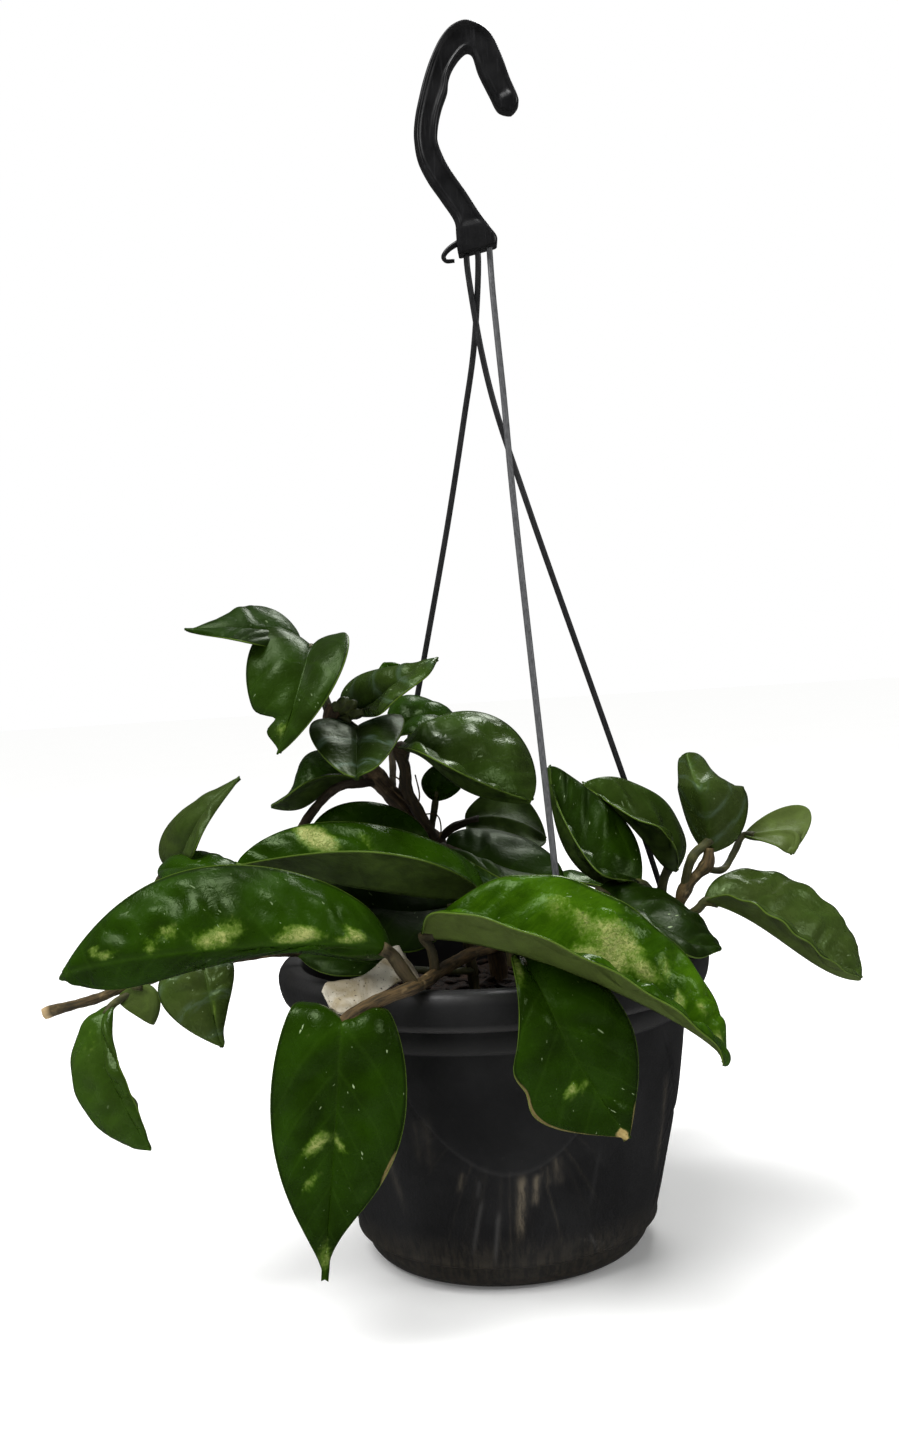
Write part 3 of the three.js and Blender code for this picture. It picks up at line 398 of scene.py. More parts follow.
def soilMaterial(c):
    material, put = newMaterial("soil_bark_and_peat")
    place = put("place")
    crumbs = put("noise", place, grains(2.4), 5, 0.7)
    patch = put("noise", place, grains(14), 3)
    skin = put("mix", put("ramp", crumbs, 0.35, 0.7), c["wet"], c["peat"])
    skin = put("mix", put("multiply", put("ramp", patch, 0.5, 0.7), 0.5), skin, c["bark"])
    put("OutputMaterial", put("BsdfPrincipled", Base_Color=skin, Roughness=0.9, IOR=1.4,
                              Normal=put("bump", 1.0, 0.0015, crumbs)))
    return material


# Card strip: cream, soiled by watering, with dark grains stuck to it
cardFinish = dict(cream="#d8d2c2", soiled="#a89a7c", grit="#3b3024")


def cardMaterial(c):
    material, put = newMaterial("card_printed_strip")
    place = put("place")
    stain = put("noise", place, grains(9), 4, 0.6, 0.6)
    grit = put("noise", place, grains(0.8), 2, 0.6)
    skin = put("mix", put("ramp", stain, 0.35, 0.7), c["cream"], c["soiled"])
    skin = put("mix", put("ramp", grit, 0.63, 0.7), skin, c["grit"])
    put("OutputMaterial", put("BsdfPrincipled", Base_Color=skin, Roughness=0.7, IOR=1.45,
                              Normal=put("bump", 0.4, 0.0005, stain)))
    return material


leafSkin, stemSkin, potSkin, hangerSkin, soilSkin, cardSkin = (make(linear(finish)) for make, finish in (
    (leafMaterial, leafFinish), (stemMaterial, stemFinish), (potMaterial, potFinish),
    (hangerMaterial, hangerFinish), (soilMaterial, soilFinish), (cardMaterial, cardFinish)))
print("materials made")

pot = dict(columns=640, swags=4, swagTurn=math.radians(2), swagLow=47, swagRise=40, swagSpread=math.radians(35),
           swagRaise=0.55, fluteDepth=0.22, fluteStep=0.12, creaseDepth=0.35, wallRows=118, wallFrom=14, wallTo=91,
           floor=2.4, drains=6, drainRadius=4, drainCircle=32)
# radius and height, from the middle of the base up the outside, round the lip and down the inside
potLine = dict(
    foot=[[46, 0], [49, 0], [50.6, 0.2], [52.2, 0.9], [53.6, 2.1], [54.9, 3.8], [55.9, 6], [56.5, 8], [56.7, 9.2],
          [57.3, 9.7], [58.9, 10], [59.5, 10.6], [59.5, 12]],
    wall=[[59.8, 14], [62, 23], [63.9, 31], [65.4, 37.5], [66.7, 43], [68, 49], [69.2, 55], [70.4, 61.5],
          [71.4, 68], [72.4, 75], [73.3, 82], [74.4, 91]],
    rim=[[75.4, 91.7], [75.9, 92.2], [76.1, 93.2], [76.4, 98], [76.5, 101], [76.7, 106], [76.8, 111.5],
         [77.2, 112.7], [78, 113], [80, 113], [80.7, 112.4], [80.8, 110], [80.6, 103], [80.7, 101.8],
         [81.2, 101.2], [81.9, 101], [82.6, 101.3], [83.3, 102.3], [84, 104], [84.6, 106.3], [84.95, 108.8],
         [84.9, 110.8], [84.3, 112.6], [83.2, 114.1], [81.8, 114.9], [80.2, 115], [78, 115], [76.6, 114.9],
         [75.7, 114.3], [75.3, 113.2], [75, 110], [74.6, 104], [74.4, 100], [74.2, 93], [74, 92], [72.6, 90]],
    inner=[[69, 68], [65.2, 47], [61.5, 29], [59.2, 18], [56.6, 10.4], [54, 5.6], [51.6, 3.2], [49, 2.4],
           [46, 2.4]])
# painted highlights along the lip, its lower edge and the ledge under it: from row, to row and how pale they are
# painted
lipSheen = [(0, 3, 0.45), (14, 28, 0.1), (15, 18, 0.75), (22, 27, 0.35)]
# streaks: from and to (degrees from the front, height), half width in mm, and how brown and how pale
potMarks = [
    ((5, 46), (3.6, 21), 1.6, 0.85, 0.1), ((9.6, 46), (8.6, 34), 1.2, 0.8, 0.1),
    ((-2.8, 32.5), (-5.4, 12), 0.8, 0, 0.9), ((-7.8, 37), (-12.9, 15), 0.8, 0, 0.7),
    ((-22.1, 69), (-23.1, 48), 2, 0.12, 0), ((-26.1, 67), (-26.1, 50), 1.5, 0.1, 0),
    ((15.2, 52), (16.6, 41), 1.6, 0.35, 0), ((12.5, 49), (13.2, 41), 0.8, 0.3, 0),
    ((-13, 48), (-15, 40), 1, 0.3, 0), ((28.4, 19.2), (33, 11), 0.7, 0, 0.8),
    ((24, 18.5), (44, 10), 0.8, 0.1, 0.5), ((-8, 45), (-9, 38), 0.7, 0, 0.5),
    ((29.8, 51), (27.6, 29), 0.8, 0, 0.25), ((-38, 60), (-36, 30), 1.5, 0.2, 0.1),
    ((60, 70), (62, 30), 2, 0.25, 0.1), ((100, 60), (97, 25), 2, 0.3, 0.1),
    ((160, 55), (165, 20), 2.5, 0.4, 0.1), ((-120, 50), (-118, 18), 2, 0.3, 0.1)]


# Radius grows by a raised swag on each quarter, with a crease under its edge and flutes fanning out below it
def potRelief(angle, z, p):
    quarter = 2 * math.pi / p["swags"]
    turn = angle + math.pi / 2 - p["swagTurn"]
    phi = turn - quarter * np.round(turn / quarter)
    edge = p["swagLow"] + p["swagRise"] * (phi / p["swagSpread"]) ** 2
    inside = 1 / (1 + np.exp(np.clip((edge - z) / 0.9, -50, 50)))
    top = np.clip((90 - z) / 8, 0, 1)
    low = smooth(13.5, 20, z)
    below = (1 - inside) * low * smooth(0.62, 0.4, np.abs(phi))
    fan = np.arctan2(phi * 60, 84 - z)
    fan = fan + 0.03 * np.sin(fan * 19 + 1) + 0.02 * np.sin(fan * 43 + 2)
    flute = np.cos(fan * 2 * math.pi / p["fluteStep"]) * (0.55 + 0.45 * np.sin(fan * 29 + 0.5))
    crease = p["creaseDepth"] * np.exp(-((z - edge + 1.6) / 1.1) ** 2) * low * top
    raised = p["swagRaise"] * inside * top + p["fluteDepth"] * flute * below - crease
    return raised, np.clip(flute, 0, 1) ** 2 * below, phi, edge


# Cuts a closed form out of a piece, and leaves the result in the piece's own mesh
def cutWith(piece, form):
    tool = addPiece("cutter", form, potSkin)
    cutter = piece.modifiers.new("cut", "BOOLEAN")
    cutter.operation, cutter.object = "DIFFERENCE", tool
    result = bpy.data.meshes.new_from_object(piece.evaluated_get(bpy.context.evaluated_depsgraph_get()))
    piece.modifiers.clear()
    piece.data = result
    bpy.data.objects.remove(tool)


def buildPot(p):
    foot, wall, rim, inner = (array(points) for points in potLine.values())
    z = np.linspace(p["wallFrom"], p["wallTo"], p["wallRows"])[:, None]
    wall = np.hstack([np.interp(z, wall[:, 1], wall[:, 0]), z])
    line = np.vstack([foot, wall, rim, inner])
    first, last = len(foot), len(foot) + len(wall)
    angle = circle(p["columns"])
    height = np.broadcast_to(line[:, 1:], (len(line), len(angle)))
    radius, wear, rub = line[:, :1] + 0 * height, 0 * height, 0 * height
    raised, crest, phi, edge = potRelief(angle, z, p)
    radius[first:last] += raised
    wear[:first] = 0.2
    wear[first:last] = 0.22 * crest * np.clip(1.3 - np.abs(phi - 0.05) * 2.4, 0, 1) + 0.14 * smooth(24, 14, z)
    rub[first:last] = 0.3 * np.exp(-((z - edge) / 0.8) ** 2) * smooth(0.6, 0.2, np.abs(phi))
    # painted highlights on the lip and the ledge under it
    for start, end, value in lipSheen:
        rub[last + start:last + end] = value
    degrees = (np.degrees(angle + math.pi / 2) + 180) % 360 - 180
    mmPerDegree = math.radians(1) * 68
    for (turnFrom, zFrom), (turnTo, zTo), wide, brown, light in potMarks:
        t = np.clip((height - zFrom) / (zTo - zFrom), -1, 2)
        aside = (degrees - turnFrom - (turnTo - turnFrom) * t) * mmPerDegree
        streak = np.exp(-(aside / wide) ** 2) * smooth(-0.08, 0.15, t) * smooth(1.1, 0.7, t)
        wear += brown * streak
        rub += light * streak
    outside = (np.arange(len(line)) < last)[:, None]
    wear = np.clip(np.where(outside, wear, 0), 0, 1)
    rub = np.clip(np.where(outside | (rub < 1), rub, 0), 0, 1)
    shell = ringForm(turned(radius, height, angle), dict(wear=wear, rub=rub), closed=True)
    addPiece("pot_shell", shell, potSkin, ["pot"])
    # the floor of the pot: a disc with drain holes, cut with small round cores
    radii = array([0.01, 12, 24, 32, 40, 46.3])
    heights = np.repeat([0, p["floor"]], len(radii))
    disc = turned(np.concatenate([radii, radii[::-1]])[:, None], heights[:, None], angle[::4])
    floor = addPiece("pot_floor", ringForm(disc, dict(wear=0, rub=0)), potSkin, ["pot"])
    core = turned(p["drainRadius"], array([[-2], [6]]), angle[::16])
    cutWith(floor, joined([ringForm(core + turned(p["drainCircle"], 0, turn)) for turn in circle(p["drains"])]))


buildPot(pot)
print("pot made")

# Soil: a low heap of peat with chips of bark lying in it
soil = dict(top=96, radius=73, bump=1.0, chips=260, least=[1.6, 1, 0.5], largest=[5.5, 3, 1.5],
            below=[[50, 3.5], [56, 12], [64, 46], [72, 90]])


def soilHeight(x, y, s):
    swell = np.sin(x * 0.21 + 1.3) * np.cos(y * 0.17) + 0.5 * np.sin(x * 0.43 - y * 0.37)
    return s["top"] + s["bump"] * swell


def buildSoil(s):
    rng = np.random.default_rng(7)
    angle = circle(160)
    radii = np.linspace(0.02, s["radius"], 60)[::-1, None]
    x, y = radii * np.cos(angle), radii * np.sin(angle)
    z = soilHeight(x, y, s) + 0.35 * ripples(rng, x, y, 3, 12) + 0.2 * ripples(rng, x, y, 1.6, 12)
    z = z - 3 * smooth(s["radius"] - 3, s["radius"] + 1, radii)
    below = array(s["below"])
    forms = [ringForm(np.concatenate([turned(below[:, :1], below[:, 1:], angle), np.stack([x, y, z], -1)]))]
    # a chip is a small box with bent, uneven sides, lying in the peat at any angle
    t, k = np.linspace(-1, 1, 5)[:, None], circle(8)
    for _ in range(s["chips"]):
        far, turn = s["radius"] * 0.96 * math.sqrt(rng.uniform()), rng.uniform(0, 2 * math.pi)
        atX, atY = far * math.cos(turn), far * math.sin(turn)
        atZ = soilHeight(atX, atY, s) + rng.uniform(-0.6, 0.9)
        long, wide, high = rng.uniform(s["least"], s["largest"])
        spin, tip = rng.uniform(0, 6.3), rng.normal(0, 0.35)
        width = np.sqrt(np.clip(1.05 - t ** 2, 0.05, 1)) * (1 + 0.25 * rng.normal(size=(5, 8)))
        px, py = t * long + 0 * width, np.cos(k) * width * wide
        chip = [px * math.cos(spin) - py * math.sin(spin) + atX, px * math.sin(spin) + py * math.cos(spin) + atY,
                np.sin(k) * width * high + px * math.sin(tip) + atZ]
        forms.append(ringForm(np.stack(chip, -1)))
    addPiece("soil_and_bark", joined(forms), soilSkin, ["soil"])


buildSoil(soil)
print("soil made")

# Hanger: hook with a channel down both faces, and three thin arms
hook = dict(thick=7, rim=1.5, channel=1.5, channelFrom=0.07, channelTo=0.955, fade=0.03, point=0.035, rows=170,
            columns=[0, 0.25, 0.5, 0.6, 0.72, 0.88, 0.97, 1],
            clip=[[4, 0, 394.6], [-1, 0, 391.6], [-2.9, 0, 389], [-2, 0, 387.4], [1.4, 0, 387.2]])
# its outer and its inner edge, in pairs from the foot up the back, over the top and down to the point
hookEdges = [
    [3.2, 388.8, 18.4, 391.9], [2.7, 392.5, 18.6, 395], [2.6, 398, 15.8, 399.5], [2.3, 402.8, 12.5, 404.4],
    [-2.5, 411.3, 7.3, 413.5], [-7.5, 419.5, 1.4, 423.2], [-10.8, 427.5, -1.5, 430], [-11.7, 435.4, -2.5, 434.8],
    [-10.8, 443.1, -1.9, 440.6], [-8.8, 450.8, -0.2, 446.8], [-6.4, 458.4, 2.4, 453.2], [-3.3, 466, 3.2, 457.8],
    [1, 473.5, 5.1, 462.3], [5.9, 478.2, 8.3, 466.4], [11.1, 479.8, 10.8, 468.2], [14.5, 478.8, 12.2, 467.9],
    [18.3, 476.6, 13.2, 466.6], [20.9, 473.7, 14, 463.6], [22.7, 470.1, 14.6, 461], [24.9, 464.1, 15.7, 457.9],
    [27.3, 456.1, 19.1, 450.1], [29.9, 449, 21, 445.7], [30.3, 446, 22.6, 443.6], [29.4, 443.4, 24.6, 442.2]]


# A plate between two edge lines: its section is a flat bar with rounded rims and a sunk channel on both faces
def buildHook(h):
    edges, _ = curveThrough([[x, 0, z, far, 0, high] for x, z, far, high in hookEdges], h["rows"])
    t = np.linspace(0, 1, h["rows"])[:, None]
    middle, half = (edges[:, 3:] + edges[:, :3]) / 2, (edges[:, 3:] - edges[:, :3]) / 2
    # the point of the hook is drawn together in a round end
    close = np.sqrt(np.clip(1 - ((t - 1) / h["point"] + 1).clip(0) ** 2, 0.02, 1))
    half = half * close
    columns = array(h["columns"])
    s = np.concatenate([-columns[:0:-1], columns])
    fromEdge = (1 - np.abs(s)) * np.linalg.norm(half, axis=1)[:, None]
    sunk = smooth(h["rim"], h["rim"] + 1.0, fromEdge) * smooth(h["channelFrom"], h["channelFrom"] + h["fade"], t)
    sunk = sunk * smooth(h["channelTo"], h["channelTo"] - h["fade"], t)
    face = h["thick"] / 2 * (0.55 + 0.45 * np.sqrt(np.clip(fromEdge / 0.8, 0, 1))) - h["channel"] * sunk
    face = (face * (0.75 + 0.25 * close))[..., None] * [0, 1, 0]
    across = middle[:, None] + half[:, None] * s[:, None]
    body = np.concatenate([across - face, (across + face)[:, ::-1]], 1)
    clip, run = curveThrough(h["clip"], 24)
    clip = tube(clip, (1.25 - 0.5 * run / run[-1])[:, None], circle(16), (0, 1, 0), 1.1)
    form = joined([ringForm(rings, dict(bloom=0)) for rings in (body, clip)])
    addPiece("hook_body", form, hangerSkin, ["hook"])


arms = dict(radius=1.2, lipCircle=78.8, barbRadius=1.7, barbTop=112.4, barbLength=5, descent=[122, 117, 107.5])
# each arm carries how strong a painted reflection lies along it: most on the front arm
armPaths = dict(
    front=dict(start=[15.4, 0, 390.6], angle=-71.6, bloom=0.42,
               way=[[15.5, -4.6, 374], [16.2, -10.7, 352], [17, -16.8, 330], [18, -27.9, 290]]),
    left=dict(start=[10.7, 0, 388.8], angle=127.6, bloom=0.08,
              way=[[9.6, 3.4, 374], [6.6, 8.6, 352], [1.9, 13.7, 330], [-7.1, 23, 290]]),
    right=dict(start=[6.2, 0, 387.2], angle=20.8, bloom=0.08,
               way=[[7.2, 1.4, 374], [9.9, 3.7, 352], [14.1, 6, 330], [25.2, 10.2, 290]]))


# A rod with a shallow groove down its length, and at its lower end a barb under the lip
def buildArm(name, path, a):
    upper = [array(path["start"]) + [0, 0, rise] for rise in (2.4, -2)]
    lower = [turned(a["lipCircle"], height, math.radians(path["angle"])) for height in a["descent"]]
    line, run = curveThrough([*upper, *path["way"], *lower], 170)
    around = circle(20)
    groove = 1 - 0.16 * np.exp(-((np.abs(np.sin(around / 2 - math.pi / 4))) / 0.18) ** 2)
    z = line[:, 2]
    barb = (z < a["barbTop"]) & (run > run[-1] / 2)
    barbThick = np.interp(z, [a["barbTop"] - a["barbLength"], a["barbTop"]], [0.9, a["barbRadius"]])
    thick = np.where(barb, barbThick, a["radius"])[:, None]
    form = ringForm(tube(line, thick * groove, around, (0, 1, 0.1)), dict(bloom=path["bloom"]))
    addPiece(f"arm_{name}_rod", form, hangerSkin, [f"arm_{name}"])


buildHook(hook)
for armName, armPath in armPaths.items():
    buildArm(armName, armPath, arms)
print("hanger made")

# Each leaf has four points of its midrib, and the way from the midrib to its left and right margin at one
# third and two thirds of it, in mm. base and tip say how full the ends are, and lobe how far the base is
# drawn back. pucker, quilt and wave are heights in mm: of the blade between its side veins, of small uneven
# bumps, and of the margin, which goes up and down waves times. nips are (along, side, length, depth) taken
# out of the margin. The rest is its look, mostly from 0 to 1: tone is how yellow the green is, fleck and
# stripe how silvery the dashes and the bands along the side veins are, olive how brownish, underPale how
# pale its lower face, and the last key of plainLeaf how much painted shade darkens it and how much duller
# it is. pale and dry are patches: (along, across, length, width, strength).
plainLeaf = dict(lobe=0, pucker=0.6, quilt=0.45, wave=0, waves=3, nips=[], dry=[], pale=[], tone=0.2, fleck=0.2,
                 stripe=0, olive=0, underPale=0, matt=0)


def leaf(rib, left, right, base, tip, **more):
    return {**plainLeaf, "rib": rib, "left": left, "right": right, "base": base, "tip": tip, **more}


leaves = dict(
    heart=leaf([[-50.5, -98, 111], [-51, -102.5, 107], [-54, -102.5, 83.5], [-61.5, -99, 27]],
        [[19, 4.5, -6], [18, 3.5, -17.5]], [[-21, 6, -2], [-22, 5.5, -13]], [0.29, 0.14], [1.45, 1.09], lobe=7,
        tone=0.12, fleck=1, quilt=1.0, dry=[(0.7, -1.0, 0.06, 0.05, 1.0)], pale=[(0.97, 0, 0.03, 1, 0.4),
        (0.72, 0.3, 0.02, 0.2, 0.7), (0.74, -0.15, 0.015, 0.15, 0.6), (0.8, 0.5, 0.015, 0.2, 0.5)]),
    # the pale patches along its midrib are partly its own cream patches and partly painted highlights on its
    # wrinkles
    sail=leaf([[-34.5, -77, 129], [-66, -90, 136.5], [-118.5, -88.5, 134.5], [-151.5, -70, 125.5]],
        [[-19, 8, -5.5], [-3, 8.5, -11]], [[-3.5, 16, 22.5], [-2, 15, 21]], [0.14, 0.6], [1.07, 1.62], tone=0.25,
        fleck=0.45, quilt=1.0, pucker=1.9, matt=0.06, pale=[(0.175, 0.2, 0.03, 0.12, 0.9),
        (0.21, 0.06, 0.03, 0.05, 0.6), (0.31, 0.12, 0.04, 0.09, 0.9), (0.35, 0.05, 0.03, 0.04, 0.6),
        (0.45, 0.2, 0.02, 0.1, 0.4), (0.485, 0.12, 0.02, 0.12, 0.8), (0.525, 0.08, 0.015, 0.1, 0.7),
        (0.6, 0.25, 0.03, 0.1, 0.5), (0.64, 0.1, 0.015, 0.1, 0.5), (0.75, 0.13, 0.03, 0.06, 0.6),
        (0.785, 0.35, 0.02, 0.12, 0.5)]),
    bright=leaf([[-24, -70, 133], [15.5, -86, 126], [58, -94, 106], [74.5, -92, 89]],
        [[10, 10, 25.5], [5.5, 12, 19.5]], [[1, -22, 10.5], [-1.5, -19, 6.5]], [0.78, 0.13], [0.43, 0.25],
        tone=0.62, fleck=0.5, quilt=1.2, pucker=2.3, wave=0.5, waves=6, matt=-0.04, underPale=0.5,
        pale=[(0.47, -0.45, 0.045, 0.16, 0.85), (0.53, -0.5, 0.03, 0.14, 0.8), (0.44, -0.16, 0.04, 0.09, 0.9),
        (0.5, -0.24, 0.03, 0.1, 0.8), (0.575, -0.25, 0.03, 0.08, 0.8), (0.68, -0.2, 0.015, 0.14, 0.9),
        (0.62, -0.07, 0.02, 0.05, 0.7), (0.34, -0.55, 0.03, 0.15, 0.5), (0.4, -0.5, 0.02, 0.12, 0.6),
        (0.62, -0.45, 0.02, 0.12, 0.6), (0.74, -0.3, 0.02, 0.1, 0.6), (0.85, -0.1, 0.04, 0.12, 0.9)],
        nips=[(0.87, 1, 0.035, 0.3), (0.93, -1, 0.1, 0.14)]),
    apron=leaf([[9, -80, 126], [18, -97, 111], [25, -99, 95.5], [41, -97, 67.5]], [[22, 5, 1.5], [21, 5, -2.5]],
        [[-11, -5, -6.5], [-17.5, -1, -15]], [0.3, 0.12], [0.85, 0.99], tone=0.12, fleck=0.7, quilt=1.0,
        pucker=0.9, dry=[(0.74, 1.0, 0.26, 0.045, 1.1), (0.93, -1.0, 0.08, 0.06, 1.0),
        (0.985, 0.2, 0.022, 1.0, 0.85)], pale=[(0.75, 0.32, 0.02, 0.1, 0.9), (0.78, 0.12, 0.02, 0.1, 0.45),
        (0.06, 0.75, 0.08, 0.3, 0.5)], nips=[(0.47, 1, 0.06, -0.07), (0.63, 1, 0.07, 0.11)]),
    arch=leaf([[-2, -38, 142], [-18.5, -52, 144.5], [-48, -53.5, 150.6], [-92, -42, 158.5]],
        [[1.5, -22, 13.4], [-1, -20.5, 14]], [[-6, 13.5, 20.5], [-12, 13.5, 21.5]], [1.02, 0.47], [1.02, 0.83],
        tone=0.3, fleck=0.3, quilt=0.8, pucker=0.9, underPale=0.12, pale=[(0.75, 0.7, 0.03, 0.28, 1.1),
        (0.7, 0.62, 0.03, 0.24, 1.0), (0.57, 0.6, 0.02, 0.15, 0.45)]),
    archBack=leaf([[-20.5, -10, 152.5], [-36, -20, 162], [-50.5, -24, 164.5], [-69, -18, 162]],
        [[-6, -14, -7], [-2, -12, -8]], [[8, 6, 8], [-2.5, 8, 12.5]], [0.68, 1.29], [0.78, 0.93]),
    # painted shade: this dark leaf lies in the shade under the arch leaf, and is darkened most
    dusk=leaf([[-11, -20, 136], [-24, -33, 136], [-40, -41, 139], [-67, -37, 147]],
        [[1, -16, -10], [1, -14, -12]], [[1, 16, 9], [-4, 22, 12]], [0.5, 0.5], [0.7, 0.7], tone=0, fleck=0.4,
        matt=0.4),
    inner=leaf([[-35.5, -38, 116.5], [-43, -50, 120.5], [-56, -52, 123.5], [-70.5, -46, 124]],
        [[-1.5, -6, -2.5], [-1.5, -6, -4.5]], [[-5.5, 14, 3], [-2.5, 14, 1.5]], [0.36, 0.12], [0.88, 0.68],
        tone=0.05, fleck=0.6, matt=0.2),
    crest=leaf([[-69, -2, 240.5], [-79, -8, 244.5], [-94, -10, 247], [-113, -6, 248.5]],
        [[-7, -18, -3.5], [-1.5, -10, -3.5]], [[-3.5, 16, 11.5], [-3, 14, 7.5]], [0.34, 0.45], [0.37, 1.52],
        tone=0.05, matt=0.15, pucker=0.9, fleck=0.4),
    cup=leaf([[-63, -12, 238], [-63.5, -26, 232.5], [-67, -36, 218.5], [-74, -42, 199]],
        [[16.5, -8, 4], [13, -10, 0.5]], [[-21.5, 8, 7.5], [-18, 6, -1]], [0.41, 0.47], [0.81, 1.23], lobe=8,
        tone=0.1, fleck=0.4, quilt=0.7, matt=0.08, nips=[(0.77, 1, 0.04, 0.5)], olive=0.05,
        pale=[(0.85, 0.2, 0.05, 0.35, 0.35)]),
    boat=leaf([[-48.5, -4, 210.5], [-36.5, -14, 217], [-28.5, -22, 222.5], [-14, -26, 230.5]],
        [[-11.5, 16, 8.5], [-6, 12, 6]], [[-1, -16, -6.5], [-2.5, -16, -7.5]], [0.36, 0.82], [0.71, 0.12],
        tone=0.1, stripe=0.35, pucker=1.3, olive=0.15, fleck=0.5, pale=[(0.9, 0.5, 0.12, 0.5, 0.12)]),
    saddle=leaf([[-47.5, -12, 205.5], [-46.5, -26, 201], [-46, -38, 192], [-45.5, -48, 188.5]],
        [[18, 4, 5.5], [12.5, -2, 4.5]], [[-17, 6, 7.5], [-13, 0, 5.5]], [0.49, 1.26], [0.29, 0.78], lobe=5,
        tone=0, stripe=0.85, olive=0.1, matt=0.16),
    shade=leaf([[-50.5, 0, 185], [-64, -8, 181], [-71.5, -10, 177], [-83.5, -6, 177]],
        [[0, -16, 6.5], [-1, -16, 6]], [[-7.5, 18, 13.5], [-3.5, 18, 8.5]], [0.58, 0.22], [0.83, 0.55], tone=0.05,
        fleck=0.6),
    coin=leaf([[-31, 14, 220], [-33, 14, 223], [-34, 14, 227], [-36, 14, 231]], [[-7, 0, 2], [-5, 0, 2]],
        [[3, 0, 1], [5, 0, 1]], [0.5, 0.5], [0.5, 0.5], tone=0.5, underPale=1),
    dome=leaf([[-32, -6, 197], [-18.5, -22, 191.5], [-6, -26, 181], [18, -16, 173.5]],
        [[10.5, 26, 18], [21, 28, 18.5]], [[-1.5, -22, 3.5], [1.5, -20, 5]], [1.07, 0.67], [0.8, 0.79], tone=0.15,
        fleck=0.35, quilt=1.1, pucker=1.7, olive=0.14),
    domeBack=leaf([[-36, 22, 199], [-27, 14, 207], [-17, 14, 208], [-7, 18, 200]], [[-4, 16, 10], [0, 18, 5]],
        [[-1, -16, -5], [2, -16, -7]], [0.5, 0.5], [0.6, 0.6], tone=0.15),
    round=leaf([[-19, 4, 175], [-18, 0, 180], [-17, -2, 184], [-16, 0, 189]], [[-6, 2, 1], [-6, 4, 1]],
        [[9, 0, -1], [9, 2, -1]], [0.45, 0.45], [0.5, 0.5], tone=0.05),
    under=leaf([[-7, 6, 165], [2, 4, 166], [12, 2, 164], [24, 2, 157]], [[-1, -18, -9], [0, -16, -9]],
        [[-2, 8, 9], [0, 12, 12]], [0.45, 0.45], [0.6, 0.6], tone=0.1),
    low=leaf([[-15, -10, 157], [-2, -22, 152.5], [11, -26, 147.5], [28, -24, 143.5]],
        [[2, 16, 10.5], [7, 18, 9.5]], [[1, -12, -2], [0, -14, -2.5]], [0.5, 0.5], [0.7, 0.7], tone=0.05,
        fleck=0.5, matt=0.25, pucker=1.2),
    slope=leaf([[59.5, -8, 138.5], [44.5, -12, 141], [32, -6, 153.5], [27, 6, 185]],
        [[1, -20, 3.5], [4.5, -21, 0]], [[14.5, 16, 15.5], [14.5, 14, 18.5]], [0.85, 0.9], [1.72, 0.76], tone=0,
        fleck=0.9, quilt=1.2, pucker=1.0, matt=0.08),
    far=leaf([[76.5, 12, 140], [69, 6, 147], [61, 6, 158.5], [41, 12, 177]], [[1.5, -19, 10], [-1.5, -18, 5.5]],
        [[11, 14, 11.5], [1.5, 12, 17.5]], [0.59, 1.01], [1.64, 0.89], tone=0.1, olive=0.15, pucker=1.5, wave=0.4,
        quilt=1.0, fleck=0.4),
    rim=leaf([[42, -22, 139], [60.5, -42, 126], [71, -48, 121], [84, -40, 117]], [[14, 24, 4.5], [12, 28, -0.5]],
        [[-5.5, -20, 1], [-1, -16, -1.5]], [0.39, 0.95], [0.66, 0.92], tone=0, fleck=0.9, quilt=1.2, pucker=1.6,
        wave=0.5, matt=0.12),
    ear=leaf([[89.5, 0, 148.5], [85, -12, 170.5], [83.5, -12, 176], [81.5, 0, 187.5]],
        [[-6.5, 18, 2], [-5.5, 14, 0]], [[19.5, 16, 0.5], [15.5, 20, -2]], [0.19, 0.3], [0.21, 0.12], tone=0.1,
        stripe=0.4, olive=0.28, fleck=0.4, nips=[(0.45, 1, 0.05, -0.06), (0.54, 1, 0.03, 0.06)]),
    pale=leaf([[104, 10, 153], [113.5, 4, 153.5], [122, 0, 153.5], [119.5, -6, 146.5]],
        [[-2, -10, -2.5], [-6.5, -8, -5]], [[7.5, 8, 9.5], [8.5, 8, 8]], [0.44, 0.77], [0.9, 0.51], underPale=0.5,
        olive=0.35),
    reach=leaf([[84.5, -6, 129.5], [104, -18, 121.5], [122, -22, 107.5], [141, -16, 98]],
        [[12, 18, 16], [15.5, 22, 13.5]], [[-5, -19, 10], [-4.5, -19, 8.5]], [0.36, 0.77], [0.83, 0.68],
        tone=0.15, olive=0.3, underPale=0.35, fleck=0.5, quilt=1.1, pucker=1.6, wave=0.6, waves=6),
    spear=leaf([[-121.5, -12, 154.5], [-113.5, -20, 165], [-105.5, -22, 177.5], [-93.5, -16, 189.5]],
        [[-13, 10, 3], [-9, 10, 2]], [[3.5, -16, -3.5], [0.5, -14, -6.5]], [0.5, 1.05], [0.94, 0.67], tone=0.05,
        olive=0.3, fleck=0.3, matt=0.1),
    hump=leaf([[-124, -30, 156], [-112, -40, 158], [-101, -42, 158], [-91, -34, 155]], [[-5, 18, 3], [-5, 20, 2]],
        [[3, -18, -3], [3, -16, -3]], [0.5, 0.5], [0.7, 0.7]),
    fin=leaf([[-108, -40, 124], [-104, -50, 114], [-101.5, -54, 103.5], [-100, -52, 94]],
